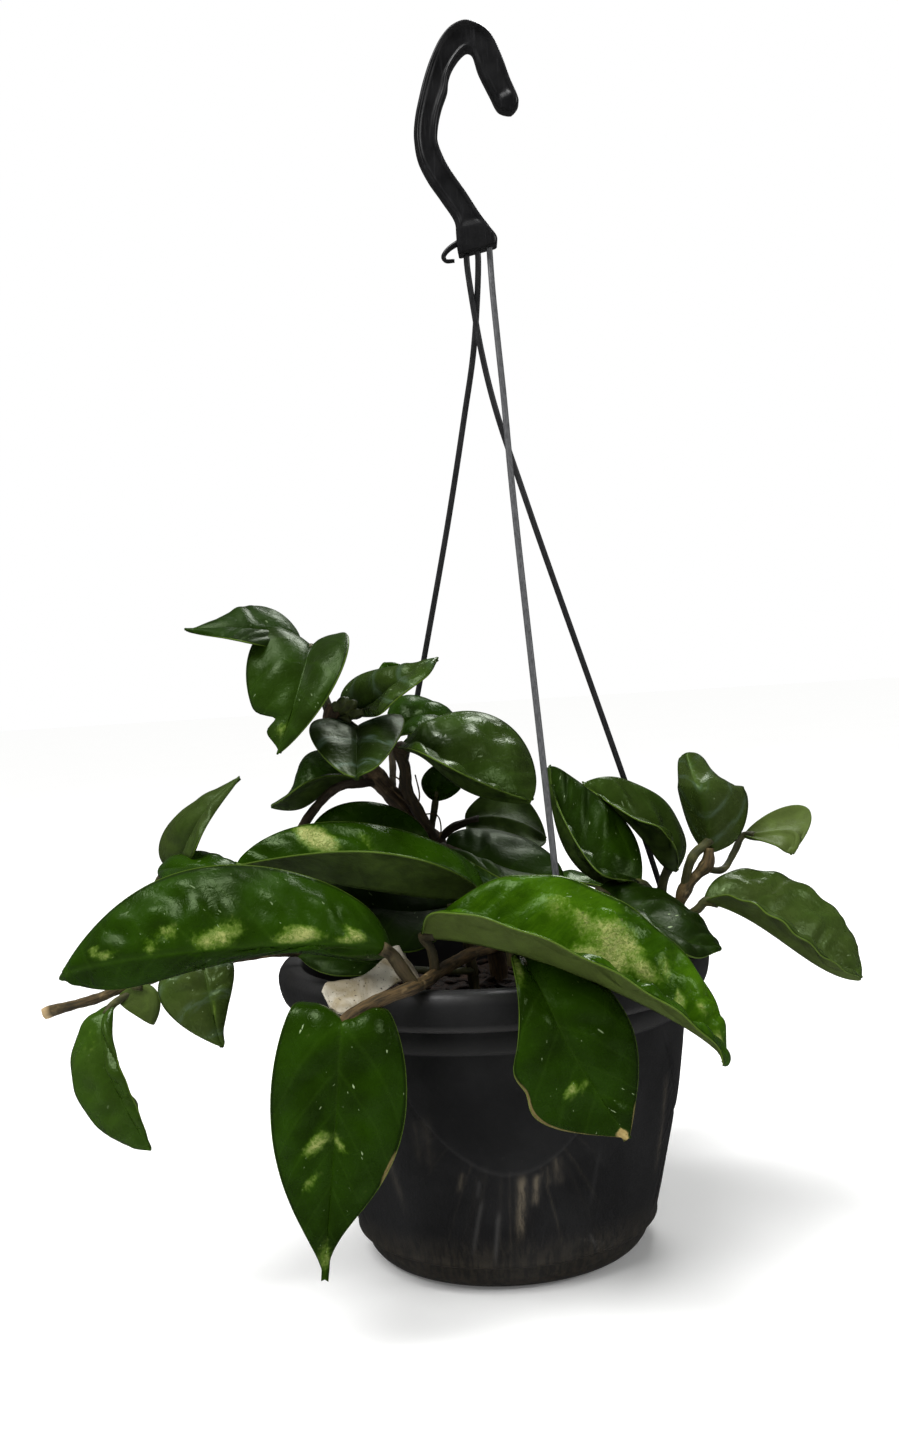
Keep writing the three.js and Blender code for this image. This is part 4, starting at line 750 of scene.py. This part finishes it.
        [[8.5, 6, 5], [4, 4, 4]], [[-19.5, 6, 2], [-15, 4, 0.5]], [0.44, 0.68], [0.12, 1.01], tone=0.15,
        stripe=0.4, olive=0.35, fleck=0.8, quilt=1.2, pucker=1.5, pale=[(0.56, -0.12, 0.12, 0.05, 0.7)]),
    drop=leaf([[-143.5, -34, 108], [-145, -46, 96], [-137.5, -52, 76.5], [-130, -46, 56]],
        [[7, -8, -3.5], [5.5, -4, -0.5]], [[-13.5, 8, -3], [-17, 8, -4.5]], [0.82, 0.66], [1.13, 0.72], tone=0.38,
        olive=0.12, underPale=0.3, quilt=1.1, pucker=1.5, wave=0.25, waves=5, pale=[(0.3, 0.3, 0.1, 0.3, 0.2)]),
    tag=leaf([[-135.5, -34, 114.5], [-129, -36, 113.5], [-126, -38, 109], [-128.5, -38, 100.5]],
        [[-13, 4, -4], [-13.5, 4, -2.5]], [[-10, 8, -4.5], [-11, 10, -3]], [0.5, 0.5], [0.8, 0.8], tone=0.1,
        olive=0.45, underPale=0.3),
    backLong=leaf([[-10, 94, 118], [-24, 107, 104], [-35, 111, 82], [-40, 108, 56]], [[-20, -5, 5], [-18, -6, 4]],
        [[20, -3, -7], [18, -3, -5]], [0.35, 0.35], [1.1, 1.1], lobe=4, tone=0.3, fleck=0.4, quilt=0.8),
    backShort=leaf([[12, 93, 118], [28, 105, 108], [40, 111, 90], [46, 110, 66]], [[-15, -6, -10], [-16, -5, -7]],
        [[16, -4, 11], [16, -4, 8]], [0.4, 0.4], [1, 1], fleck=0.4),
    backLeft=leaf([[-14, 90, 119], [-34, 104, 127], [-54, 110, 123], [-72, 108, 106]],
        [[-3, -17, -1], [-5, -16, -4]], [[4, 19, -4], [0, 18, -8]], [0.4, 0.4], [1, 1], tone=0.3, quilt=0.9),
    backRight=leaf([[12, 88, 120], [34, 98, 129], [54, 100, 126], [71, 96, 111]], [[-2, 18, -4], [2, 17, -8]],
        [[2, -17, -1], [5, -15, -4]], [0.4, 0.4], [1, 1], tone=0.15, fleck=0.3, quilt=0.9),
    backUp=leaf([[4, 56, 118], [1, 64, 132], [0, 72, 143], [2, 82, 149]], [[-16, 3, 1], [-13, 3, 1]],
        [[16, 3, 0], [13, 3, 0]], [0.4, 0.4], [0.9, 0.9], tone=0.1, stripe=0.5))
blade = dict(rows=88, ribThick=1.7, marginThick=0.75, puff=0.12, endWidth=0.05, grooveDepth=0.45, grooveWidth=1.0,
             ridge=0.7, veinSlope=0.45, veinCurve=0.012, margin=0.3,
             columns=[0, 0.03, 0.08, 0.16, 0.27, 0.39, 0.51, 0.63, 0.74, 0.84, 0.92, 0.97, 1])


# Weights of the cubic through four points at even steps
def cubicWeights(t):
    a, b, c = 1 - 3 * t, 2 - 3 * t, 1 - t
    return np.stack([a * b * c / 2, 9 * t * b * c / 2, -9 * t * a * c / 2, t * a * b / 2], -1)


# Soft patches: a sum of bell curves over the blade
def patches(u, w, spots):
    total = np.zeros_like(u * w)
    for spotU, spotW, sizeU, sizeW, strength in spots:
        total += strength * np.exp(-((u - spotU) / sizeU) ** 2 - ((w - spotW) / sizeW) ** 2)
    return np.clip(total, 0, 1)


# A blade is the midrib curve plus its distance to each margin, shared out by a power of a sine along it.
# Each half is puffed up between midrib and margin, waved at the margin and quilted by small ripples.
def leafForm(name, leaf, b):
    rng = np.random.default_rng(sum(map(ord, name)))
    u = (1 - np.cos(math.pi * np.linspace(0, 1, b["rows"] + 1))) / 2
    columns = array(b["columns"])
    w = np.concatenate([-columns[:0:-1], columns])
    fromRib = np.abs(w)
    rib = array(leaf["rib"])
    line = cubicWeights(u) @ rib
    along = unit((cubicWeights(u + 1e-4) - cubicWeights(u - 1e-4)) @ rib)
    swell = np.clip(np.sin(math.pi * u), 0, 1) / math.sin(math.pi / 3)
    halves = []
    for side, key, base, tip in zip((-1, 1), ("left", "right"), leaf["base"], leaf["tip"]):
        one, two = array(leaf[key])
        scale = np.maximum(swell ** (base + (tip - base) * u), b["endWidth"])
        for at, onSide, size, depth in leaf["nips"]:
            if onSide == side:
                scale = scale * (1 - depth * np.exp(-((u - at) / size) ** 2))
        halves.append((one + (two - one) * (3 * u[:, None] - 1)) * scale[:, None])
    toLeft, toRight = halves
    u = u[:, None]
    normal = unit(np.cross(toRight - toLeft, along))[:, None]
    s = fromRib[:, None]
    half = np.where(w[:, None] < 0, toLeft[:, None], toRight[:, None])
    wide = np.linalg.norm(half, axis=-1)
    middle = line[:, None] + half * s + normal * (4 * s * (1 - s) * b["puff"] * wide[..., None])
    middle = middle - along[:, None] * leaf["lobe"] * s ** 1.5 * (1 - u[..., None]) ** 4
    acrossMm = wide * fromRib
    signed = acrossMm * np.sign(w)
    length = lengths(line)[:, None] + 0 * signed
    ends = np.sin(math.pi * u) ** 0.5
    # between side veins the blade stands up in soft puckers
    veinRun = length - b["veinSlope"] * acrossMm - b["veinCurve"] * acrossMm ** 2
    uneven = veinRun + 4 * ripples(rng, length, signed, 15)
    swollen = (0.5 - 0.5 * np.cos(2 * math.pi * uneven / veinStep)) ** 0.8 - 0.5
    lift = leaf["pucker"] * swollen * smooth(0.05, 0.4, fromRib) * smooth(1.0, 0.75, fromRib)
    lift += leaf["quilt"] * ripples(rng, length, signed, 9) * smooth(0, 0.3, fromRib) * smooth(1.0, 0.8, fromRib)
    lift += leaf["wave"] * np.sin(2 * math.pi * (leaf["waves"] * u + rng.uniform())) * fromRib ** 3
    surface = middle + normal * (lift * ends)[..., None]
    face = unit(np.cross(np.gradient(surface, axis=1), np.gradient(surface, axis=0)))
    thick = b["ribThick"] + (b["marginThick"] - b["ribThick"]) * fromRib ** 0.7
    nearRib = np.exp(-(acrossMm / b["grooveWidth"]) ** 2) * ends
    top = surface + face * (thick / 2 - b["grooveDepth"] * nearRib)[..., None]
    bottom = surface - face * (thick / 2 + b["ridge"] * nearRib)[..., None]
    edges = surface[:, [0, -1]] + unit(surface[:, [0, -1]] - surface[:, [1, -2]]) * b["margin"]

    # values of the upper face, the lower face and the two margins, as they follow each other round a ring
    def ringOf(upper, lower, margins):
        return np.concatenate([upper, margins[:, 1:], lower[:, ::-1], margins[:, :1]], 1)

    def both(values):
        return ringOf(values, values, values[:, [0, -1]])

    one = np.ones_like(wide)
    fields = {key: leaf[key] for key in ("tone", "fleck", "stripe", "olive", "underPale", "matt")}
    fields.update(upper=ringOf(one, 0 * one, 0.5 * one[:, :2]), across=both(fromRib * one),
                  rib=both(np.exp(-(acrossMm / 0.8) ** 2)), veinRun=both(veinRun), acrossMm=both(signed),
                  seed=rng.uniform(0, 50), **{key: both(patches(u, w, leaf[key])) for key in ("dry", "pale")})
    return ringForm(ringOf(top, bottom, edges), fields)


# main is the stem, from the soil to its end. Each stalk runs from it into the base of the leaf of its name:
# its points, radius, how woody it is, and how dark: darker bark, and painted shade where it runs down into
# the pot or lies under leaves. nodes are (place, growth) where the stem swells, and cut is how bare its end is.
def stalk(way, radius=1.4, woody=0.25, dark=0.1):
    return way, radius, woody, dark


vines = dict(
    vine_front=dict(radius=2.3, woody=0.9, main=[[17, 4, 90], [17, 3, 101], [12, -12, 114], [3, -36, 122],
        [-8, -52, 122.5], [-18.5, -66, 120], [-23.5, -76, 118.5], [-28.5, -84, 118], [-38.5, -91, 116],
        [-46, -96, 113.5], [-50.5, -98, 110.5]],
        stalks=dict(
            heart=stalk([[-47, -96.5, 113], [-50, -98, 111], [-51, -99.5, 109]]),
            sail=stalk([[-27, -82, 118], [-31, -81, 124], [-34.5, -79, 129], [-37.5, -80.5, 131.5]], 2.4, 0.6,
                0.6),
            bright=stalk([[-20.5, -69, 119.5], [-20.5, -69, 123.5], [-21.5, -69.5, 129], [-24, -70, 133],
                [-19.5, -73, 133.5]], 1.7, 0.5, 0.6),
            apron=stalk([[7.5, -24, 118.5], [7, -52, 124.5], [9, -74, 128], [9, -80, 126], [11, -84, 123]], 1.7,
                0.3, 0.4))),
    vine_arch=dict(radius=2.2, woody=0.6, main=[[-8, -6, 90], [-8, -7, 104], [-9, -13, 121], [-7, -20, 134],
        [-1, -32, 140], [-4, -39, 142]],
        stalks=dict(
            arch=stalk([[-1, -32, 140], [-2, -38, 142], [-5, -42.5, 142]]),
            archBack=stalk([[-8, -18, 131], [-12, -13, 143], [-20.5, -10, 152.5], [-24.5, -12.5, 155.5]]),
            dusk=stalk([[-8, -16, 128], [-11, -20, 135], [-16, -26, 136]]),
            inner=stalk([[-8, -9, 108], [-22, -26, 112], [-35.5, -38, 116.5], [-37, -43, 118]]))),
    vine_top=dict(radius=3.7, woody=1, dark=0.3,
        nodes=[([-42, -2.5, 186], 1.08), ([-56, -8, 211], 1.24), ([-20.5, 9, 158], 1.16)], main=[[2, 31, 90],
        [2, 30, 102], [-2, 26, 122], [-12, 19, 141], [-20.5, 10, 157], [-29, 6, 169], [-36, 2, 178],
        [-42.5, -2, 187], [-51, -6, 198], [-57, -8, 209], [-55, -8, 215]],
        stalks=dict(
            crest=stalk([[-57, -8, 209], [-64, 2, 226], [-69, -2, 240.5], [-73, -5, 242.5]], 1.7, 0.25, 0.3),
            cup=stalk([[-57, -8, 211], [-62, -6, 226], [-63, -12, 238], [-63, -17.5, 237]], 1.7, 0.25, 0.3),
            boat=stalk([[-56, -8, 213], [-48.5, -4, 210.5], [-44, -7, 212.5]]),
            saddle=stalk([[-55, -8, 212], [-47.5, -12, 205.5], [-47, -17.5, 205]]),
            shade=stalk([[-43, -2, 187.5], [-50.5, 0, 185], [-55, -2.5, 184]]),
            coin=stalk([[-55, -6, 214], [-41, 6, 216], [-31, 13, 219], [-32, 14, 222]]),
            dome=stalk([[-21, 4, 160], [-26, -1, 171], [-30, -4, 181], [-30, -5.5, 189], [-32, -6, 197],
                [-28.5, -10, 196.5]], 2.4, 0.8, 0.55),
            domeBack=stalk([[-36, 3, 179], [-36, 14, 188], [-36, 21, 198], [-32, 18, 203]], 1.4, 0.7, 0.5),
            round=stalk([[-22, 8, 161], [-20, 5, 170], [-19, 4, 175], [-18, 1, 179]], 1.4, 0.25, 0.3),
            under=stalk([[-19, 10, 158], [-13, 8, 163], [-7, 6, 165], [-2, 5, 166]], 1.7, 0.5, 0.8),
            low=stalk([[-16, 12, 151], [-17, -2, 157], [-15, -10, 157], [-9.5, -16, 155.5]], 1.4, 0.5, 0.8),
            branch=stalk([[-41, -2, 184], [-48, -7, 184], [-53.5, -12, 184], [-58.5, -15, 182], [-64, -17, 177],
                [-69, -18, 171], [-73, -18, 165]], 1.8, 0.9, 0.85))),
    vine_back=dict(radius=2, woody=0.5, nodes=[([66, 8, 127], 1.5)],
        main=[[50, 16, 90], [51, 16, 101], [58, 12, 116], [66, 8, 127], [67, 8, 130]],
        stalks=dict(
            slope=stalk([[66, 8, 127], [64, 1, 134], [59.5, -8, 138.5], [54.5, -10.5, 139]], 1.7),
            far=stalk([[66, 8, 127], [69, 9, 131], [71.5, 11, 138], [74.5, 12, 143], [73, 9, 143]], 2),
            rim=stalk([[61, 11, 120], [49, -4, 131], [42, -22, 139], [45.5, -25.5, 136.5]]))),
    vine_right=dict(radius=1.9, woody=0.8, nodes=[([77.5, -2, 134], 1.68), ([86.5, -2, 143.5], 1.63)],
        main=[[66, -6, 90], [67, -5, 102], [71.5, 0, 116], [74.5, -1, 126], [77.5, -2, 134], [82, -2, 139],
        [87, -2, 144], [88, -1.5, 150]],
        stalks=dict(
            ear=stalk([[77.5, -2, 134], [79, -2.5, 142], [82, -2.5, 148], [86, -1.5, 151], [89, -1.5, 153.5]],
                1.9),
            pale=stalk([[86.5, -2, 142.5], [89.5, -1, 141], [94, 2, 141], [99.5, 7, 147], [104, 10, 153],
                [108, 6.5, 153]]),
            reach=stalk([[73, -1, 120], [78.5, -4, 124.5], [82, -6, 127], [84.5, -6, 129.5], [89, -9, 129]],
                1.8))),
    vine_left=dict(radius=1.9, woody=0.8, dark=0.15, cut=1.0,
        nodes=[([-132, -29.5, 115], 1.37), ([-108, -25, 120], 1.47), ([-170, -28, 105.5], 1.32)],
        main=[[-46, 4, 90], [-46.5, 3.6, 100], [-51, 0, 107], [-62, -6, 114.5], [-80, -14, 120.5],
        [-106, -24, 120], [-130, -29, 116], [-140, -30, 113.5], [-149.5, -30, 110], [-160, -29, 107.5],
        [-169, -28, 105.5], [-172, -28, 104.5]],
        stalks=dict(
            spear=stalk([[-110, -25, 119.5], [-120, -22, 132], [-122, -15, 146], [-121.5, -12, 154.5],
                [-118.5, -15.5, 157.5]]),
            hump=stalk([[-112, -26, 119], [-122, -29, 138], [-125, -29, 152], [-119, -34, 157]]),
            fin=stalk([[-106, -24, 120], [-108, -34, 126], [-108, -40, 124], [-106.5, -44, 120.5]]),
            drop=stalk([[-132, -29.5, 115], [-138, -32.5, 111], [-143.5, -34, 108], [-145.5, -38.5, 105]], 1.5),
            tag=stalk([[-131, -29.5, 115.5], [-135.5, -34, 114.5], [-131.5, -35.5, 114]]))),
    vine_behind=dict(radius=2.1, woody=0.6, nodes=[([0, 85, 121], 1.43)], main=[[8, 54, 90], [8, 55, 102],
        [5, 64, 114], [0, 76, 120.5], [0, 86, 121], [1, 93, 118]],
        stalks=dict(
            backLong=stalk([[1, 90, 120], [-8, 93, 119], [-15, 99, 114]]),
            backShort=stalk([[1, 92, 119], [10, 92, 119], [18, 98, 115]]),
            backLeft=stalk([[0, 84, 121], [-10, 88, 120], [-19, 94, 122]]),
            backRight=stalk([[0, 82, 121], [10, 87, 120.5], [17, 90, 123]]),
            backUp=stalk([[6, 61, 111], [5, 57, 117], [3, 59, 124]]))))
buds = [([-55, -9, 212], [-50.5, -14, 217.5], 2.4), ([-54, -10, 211], [-46.5, -14.5, 215.5], 2.3),
        ([-53, -10, 209], [-44, -15, 211], 2), ([-55, -10, 209], [-50, -15, 207.5], 1.9),
        ([-56, -9, 213], [-54, -14, 215], 2.2)]
airRoots = [
    [[-35, -3.5, 186], [-32.9, -6, 185], [-28.7, -4, 180], [-28.2, -2, 175.8], [-23.5, 0, 169.4], [-21, 3, 163]],
    [[-25, -2, 170], [-18.7, 0, 169.2], [-17.6, 2, 162.1], [-19.9, 3, 157]],
    [[-38.6, -5, 182], [-34, -5, 176], [-30, -4, 171], [-27.3, -3, 168], [-22.5, -1, 163]],
    [[-26.2, -4.5, 186], [-25, -4, 178], [-26, -3, 171], [-22, 0, 165]],
    [[-41, -4.5, 186], [-36, -5, 181], [-29, -4, 174]],
    [[-33.3, -3, 175], [-30, -2.5, 168], [-24, -1, 164]]]


# A stem is a tube whose radius wavers and swells at its nodes, with a slight spiral of ridges
def stemForm(rng, points, radius, woody, dark=0, nodes=(), cut=0):
    line, run = curveThrough(points, max(10, int(lengths(array(points))[-1] / 1.2)))
    turn = circle(18)
    waver = [size * np.sin(run * rate + rng.uniform(0, 6)) for size, rate in ((0.05, 0.5), (0.03, 1.3))]
    thick = radius * (1 + sum(waver))
    for place, grow in nodes:
        thick = thick * (1 + (grow - 1) * np.exp(-(np.linalg.norm(line - array(place), axis=1) / 3.2) ** 2))
    run = run[:, None]
    ridges = 1 + 0.04 * np.sin(turn * 5 + run * 0.08) * woody
    return ringForm(tube(line, thick[:, None] * ridges, turn), dict(
        run=run, turn=np.abs(turn - math.pi) * radius, woody=woody, seed=rng.uniform(0, 50), dark=dark,
        cut=cut * smooth(run[-1] - 3, run[-1] - 2, run)))


# A bud is a drop with pleats that twist towards its point
def budForm(rng, start, end, radius):
    start, end = array(start), array(end)
    t, turn = np.linspace(0, 1, 18)[:, None], circle(20)
    bow = array([0.12, -0.1, 0.15]) * np.linalg.norm(end - start)
    line = start + (end - start) * t + bow * np.sin(math.pi * t)
    thick = radius * np.sin(math.pi * np.clip(t * 0.86 + 0.12, 0, 1)) ** 0.8 + 0.05
    pleats = 1 + 0.14 * np.cos(turn * 4 + t * 3)
    fields = dict(run=t * 8, turn=np.abs(turn - math.pi), woody=0, seed=rng.uniform(0, 50))
    return ringForm(tube(line, thick * pleats, turn), fields)


for vineName, vine in vines.items():
    rng = np.random.default_rng(len(vineName))
    stems = [stemForm(rng, vine["main"], vine["radius"], vine["woody"], vine.get("dark", 0), vine.get("nodes", ()),
                      vine.get("cut", 0))]
    stems += [stemForm(rng, *stalk) for stalk in vine["stalks"].values()]
    if vineName == "vine_top":
        stems += [budForm(rng, *bud) for bud in buds]
        stems += [stemForm(rng, root, 0.3, 1) for root in airRoots]
    blades = [leafForm(leafName, leaves[leafName], blade) for leafName in vine["stalks"] if leafName in leaves]
    addPiece(vineName + "_stems", joined(stems), stemSkin, [vineName])
    addPiece(vineName + "_leaves", joined(blades), leafSkin, [vineName])
    print(vineName, "made")

# Label: a strip of card, folded over and creased, lying over the lip
# each point of its way has a share of the half width
label = dict(
    way=[[-25, -43.5, 97, 1], [-27, -46, 108, 1], [-28.5, -53, 117.5, 1], [-32, -62, 123, 1],
         [-37, -70, 121, 0.75], [-43.5, -78, 118, 0.7], [-51, -84, 116.5, 0.92], [-54.5, -85.8, 116.5, 0.9],
         [-57, -87, 116.5, 0.5]],
    halfWidth=[2.8, -3, -5.2], thick=0.8, crumple=0.35)


def buildLabel(c):
    # the share counts ten times in the curve's steps
    way, run = curveThrough(array(c["way"]) * [1, 1, 1, 10], 90)
    line, share, half = way[:, :3], way[:, 3:] / 10, array(c["halfWidth"])
    rng = np.random.default_rng(3)
    s = np.linspace(-1, 1, 17)
    flat = line[:, None] + share[:, None] * half * s[:, None]
    normal = unit(np.cross(unit(np.gradient(line, axis=0)), half))[:, None]
    runs, asides = np.meshgrid(run, s * 5.5, indexing="ij")
    flat = flat + normal * (c["crumple"] * ripples(rng, runs, asides, 4))[..., None]
    away = normal * c["thick"] / 2
    rings = np.concatenate([flat + away, (flat - away)[:, ::-1]], 1)
    addPiece("label_strip", ringForm(rings), cardSkin, ["label"])


buildLabel(label)
print("label made")

# a wide round floor, so far across that its edge is the horizon
stage = dict(radii=[0.01, 1500, 4000, 12000, 40000], height=-0.4, columns=96, glow=0.09)
floorFinish = dict(board="#f8f8f7", worn="#fcfcfb")


def addStage(s, c):
    rings = turned(array(s["radii"])[:, None], s["height"], circle(s["columns"]))
    ids = np.arange(rings[..., 0].size).reshape(-1, s["columns"])
    quads = np.stack([ids[1:], np.roll(ids[1:], -1, 1), np.roll(ids[:-1], -1, 1), ids[:-1]], -1).reshape(-1, 4)
    mesh = bpy.data.meshes.new("floor")
    mesh.from_pydata((rings.reshape(-1, 3) * mm).tolist(), [], quads.tolist())
    mesh.polygons.foreach_set("use_smooth", np.ones(len(quads), bool))
    material, put = newMaterial("floor_painted_board")
    skin = put("mix", put("noise", put("place"), grains(300), 2), c["board"], c["worn"])
    put("OutputMaterial", put("BsdfPrincipled", Base_Color=skin, Roughness=0.8, Emission_Color=(1, 1, 1, 1),
                              Emission_Strength=s["glow"]))
    mesh.materials.append(material)
    floor = bpy.data.objects.new("floor", mesh)
    # the floor isn't mirrored in the waxy leaves and the pot, as in a studio with its table masked off
    floor.visible_glossy = False
    scene.collection.objects.link(floor)


lights = dict(
    key=dict(kind="AREA", place=(-0.62, -0.25, 1.45), size=0.6, power=10),
    fill=dict(kind="AREA", place=(1.1, -0.7, 0.9), size=0.4, power=4),
    back=dict(kind="AREA", place=(0.3, 0.8, 1.3), size=0.5, power=9),
    sky=dict(kind="SUN", place=(-0.45, -0.45, 1.35), size=math.radians(45), power=3.1))
lightTarget = (0, 0, 0.2)


def addLight(name, one):
    data = bpy.data.lights.new(name, one["kind"])
    data.energy = one["power"]
    if one["kind"] == "SUN":
        data.angle = one["size"]
    else:
        data.shape, data.size = "SQUARE", one["size"]
    obj = bpy.data.objects.new(name, data)
    obj.location = one["place"]
    obj.rotation_mode = "QUATERNION"
    obj.rotation_quaternion = (Vector(one["place"]) - Vector(lightTarget)).to_track_quat("Z", "Y")
    # the sky only tints: mirrored in the leaves it would veil them
    obj.visible_glossy = one["kind"] != "SUN"
    scene.collection.objects.link(obj)


# Even light from all round, dimmer where it is mirrored, with a paler tone behind the object that lights nothing
def addWorld(light, mirrored, seen):
    world = bpy.data.worlds.new("world")
    world.use_nodes = True
    world.node_tree.nodes.clear()
    put = partial(addNode, world.node_tree)
    ray = put("LightPath").node.outputs
    strength = put("blend", ray["Is Glossy Ray"], light, mirrored)
    strength = put("blend", ray["Is Camera Ray"], strength, seen)
    put("OutputWorld", put("Background", (1, 1, 1, 1), strength))
    scene.world = world


addStage(stage, linear(floorFinish))
for lightName, light in lights.items():
    addLight(lightName, light)
addWorld(light=0.18, mirrored=0.06, seen=1.0)
scene.view_settings.view_transform = "Standard"
print("stage and lights made")
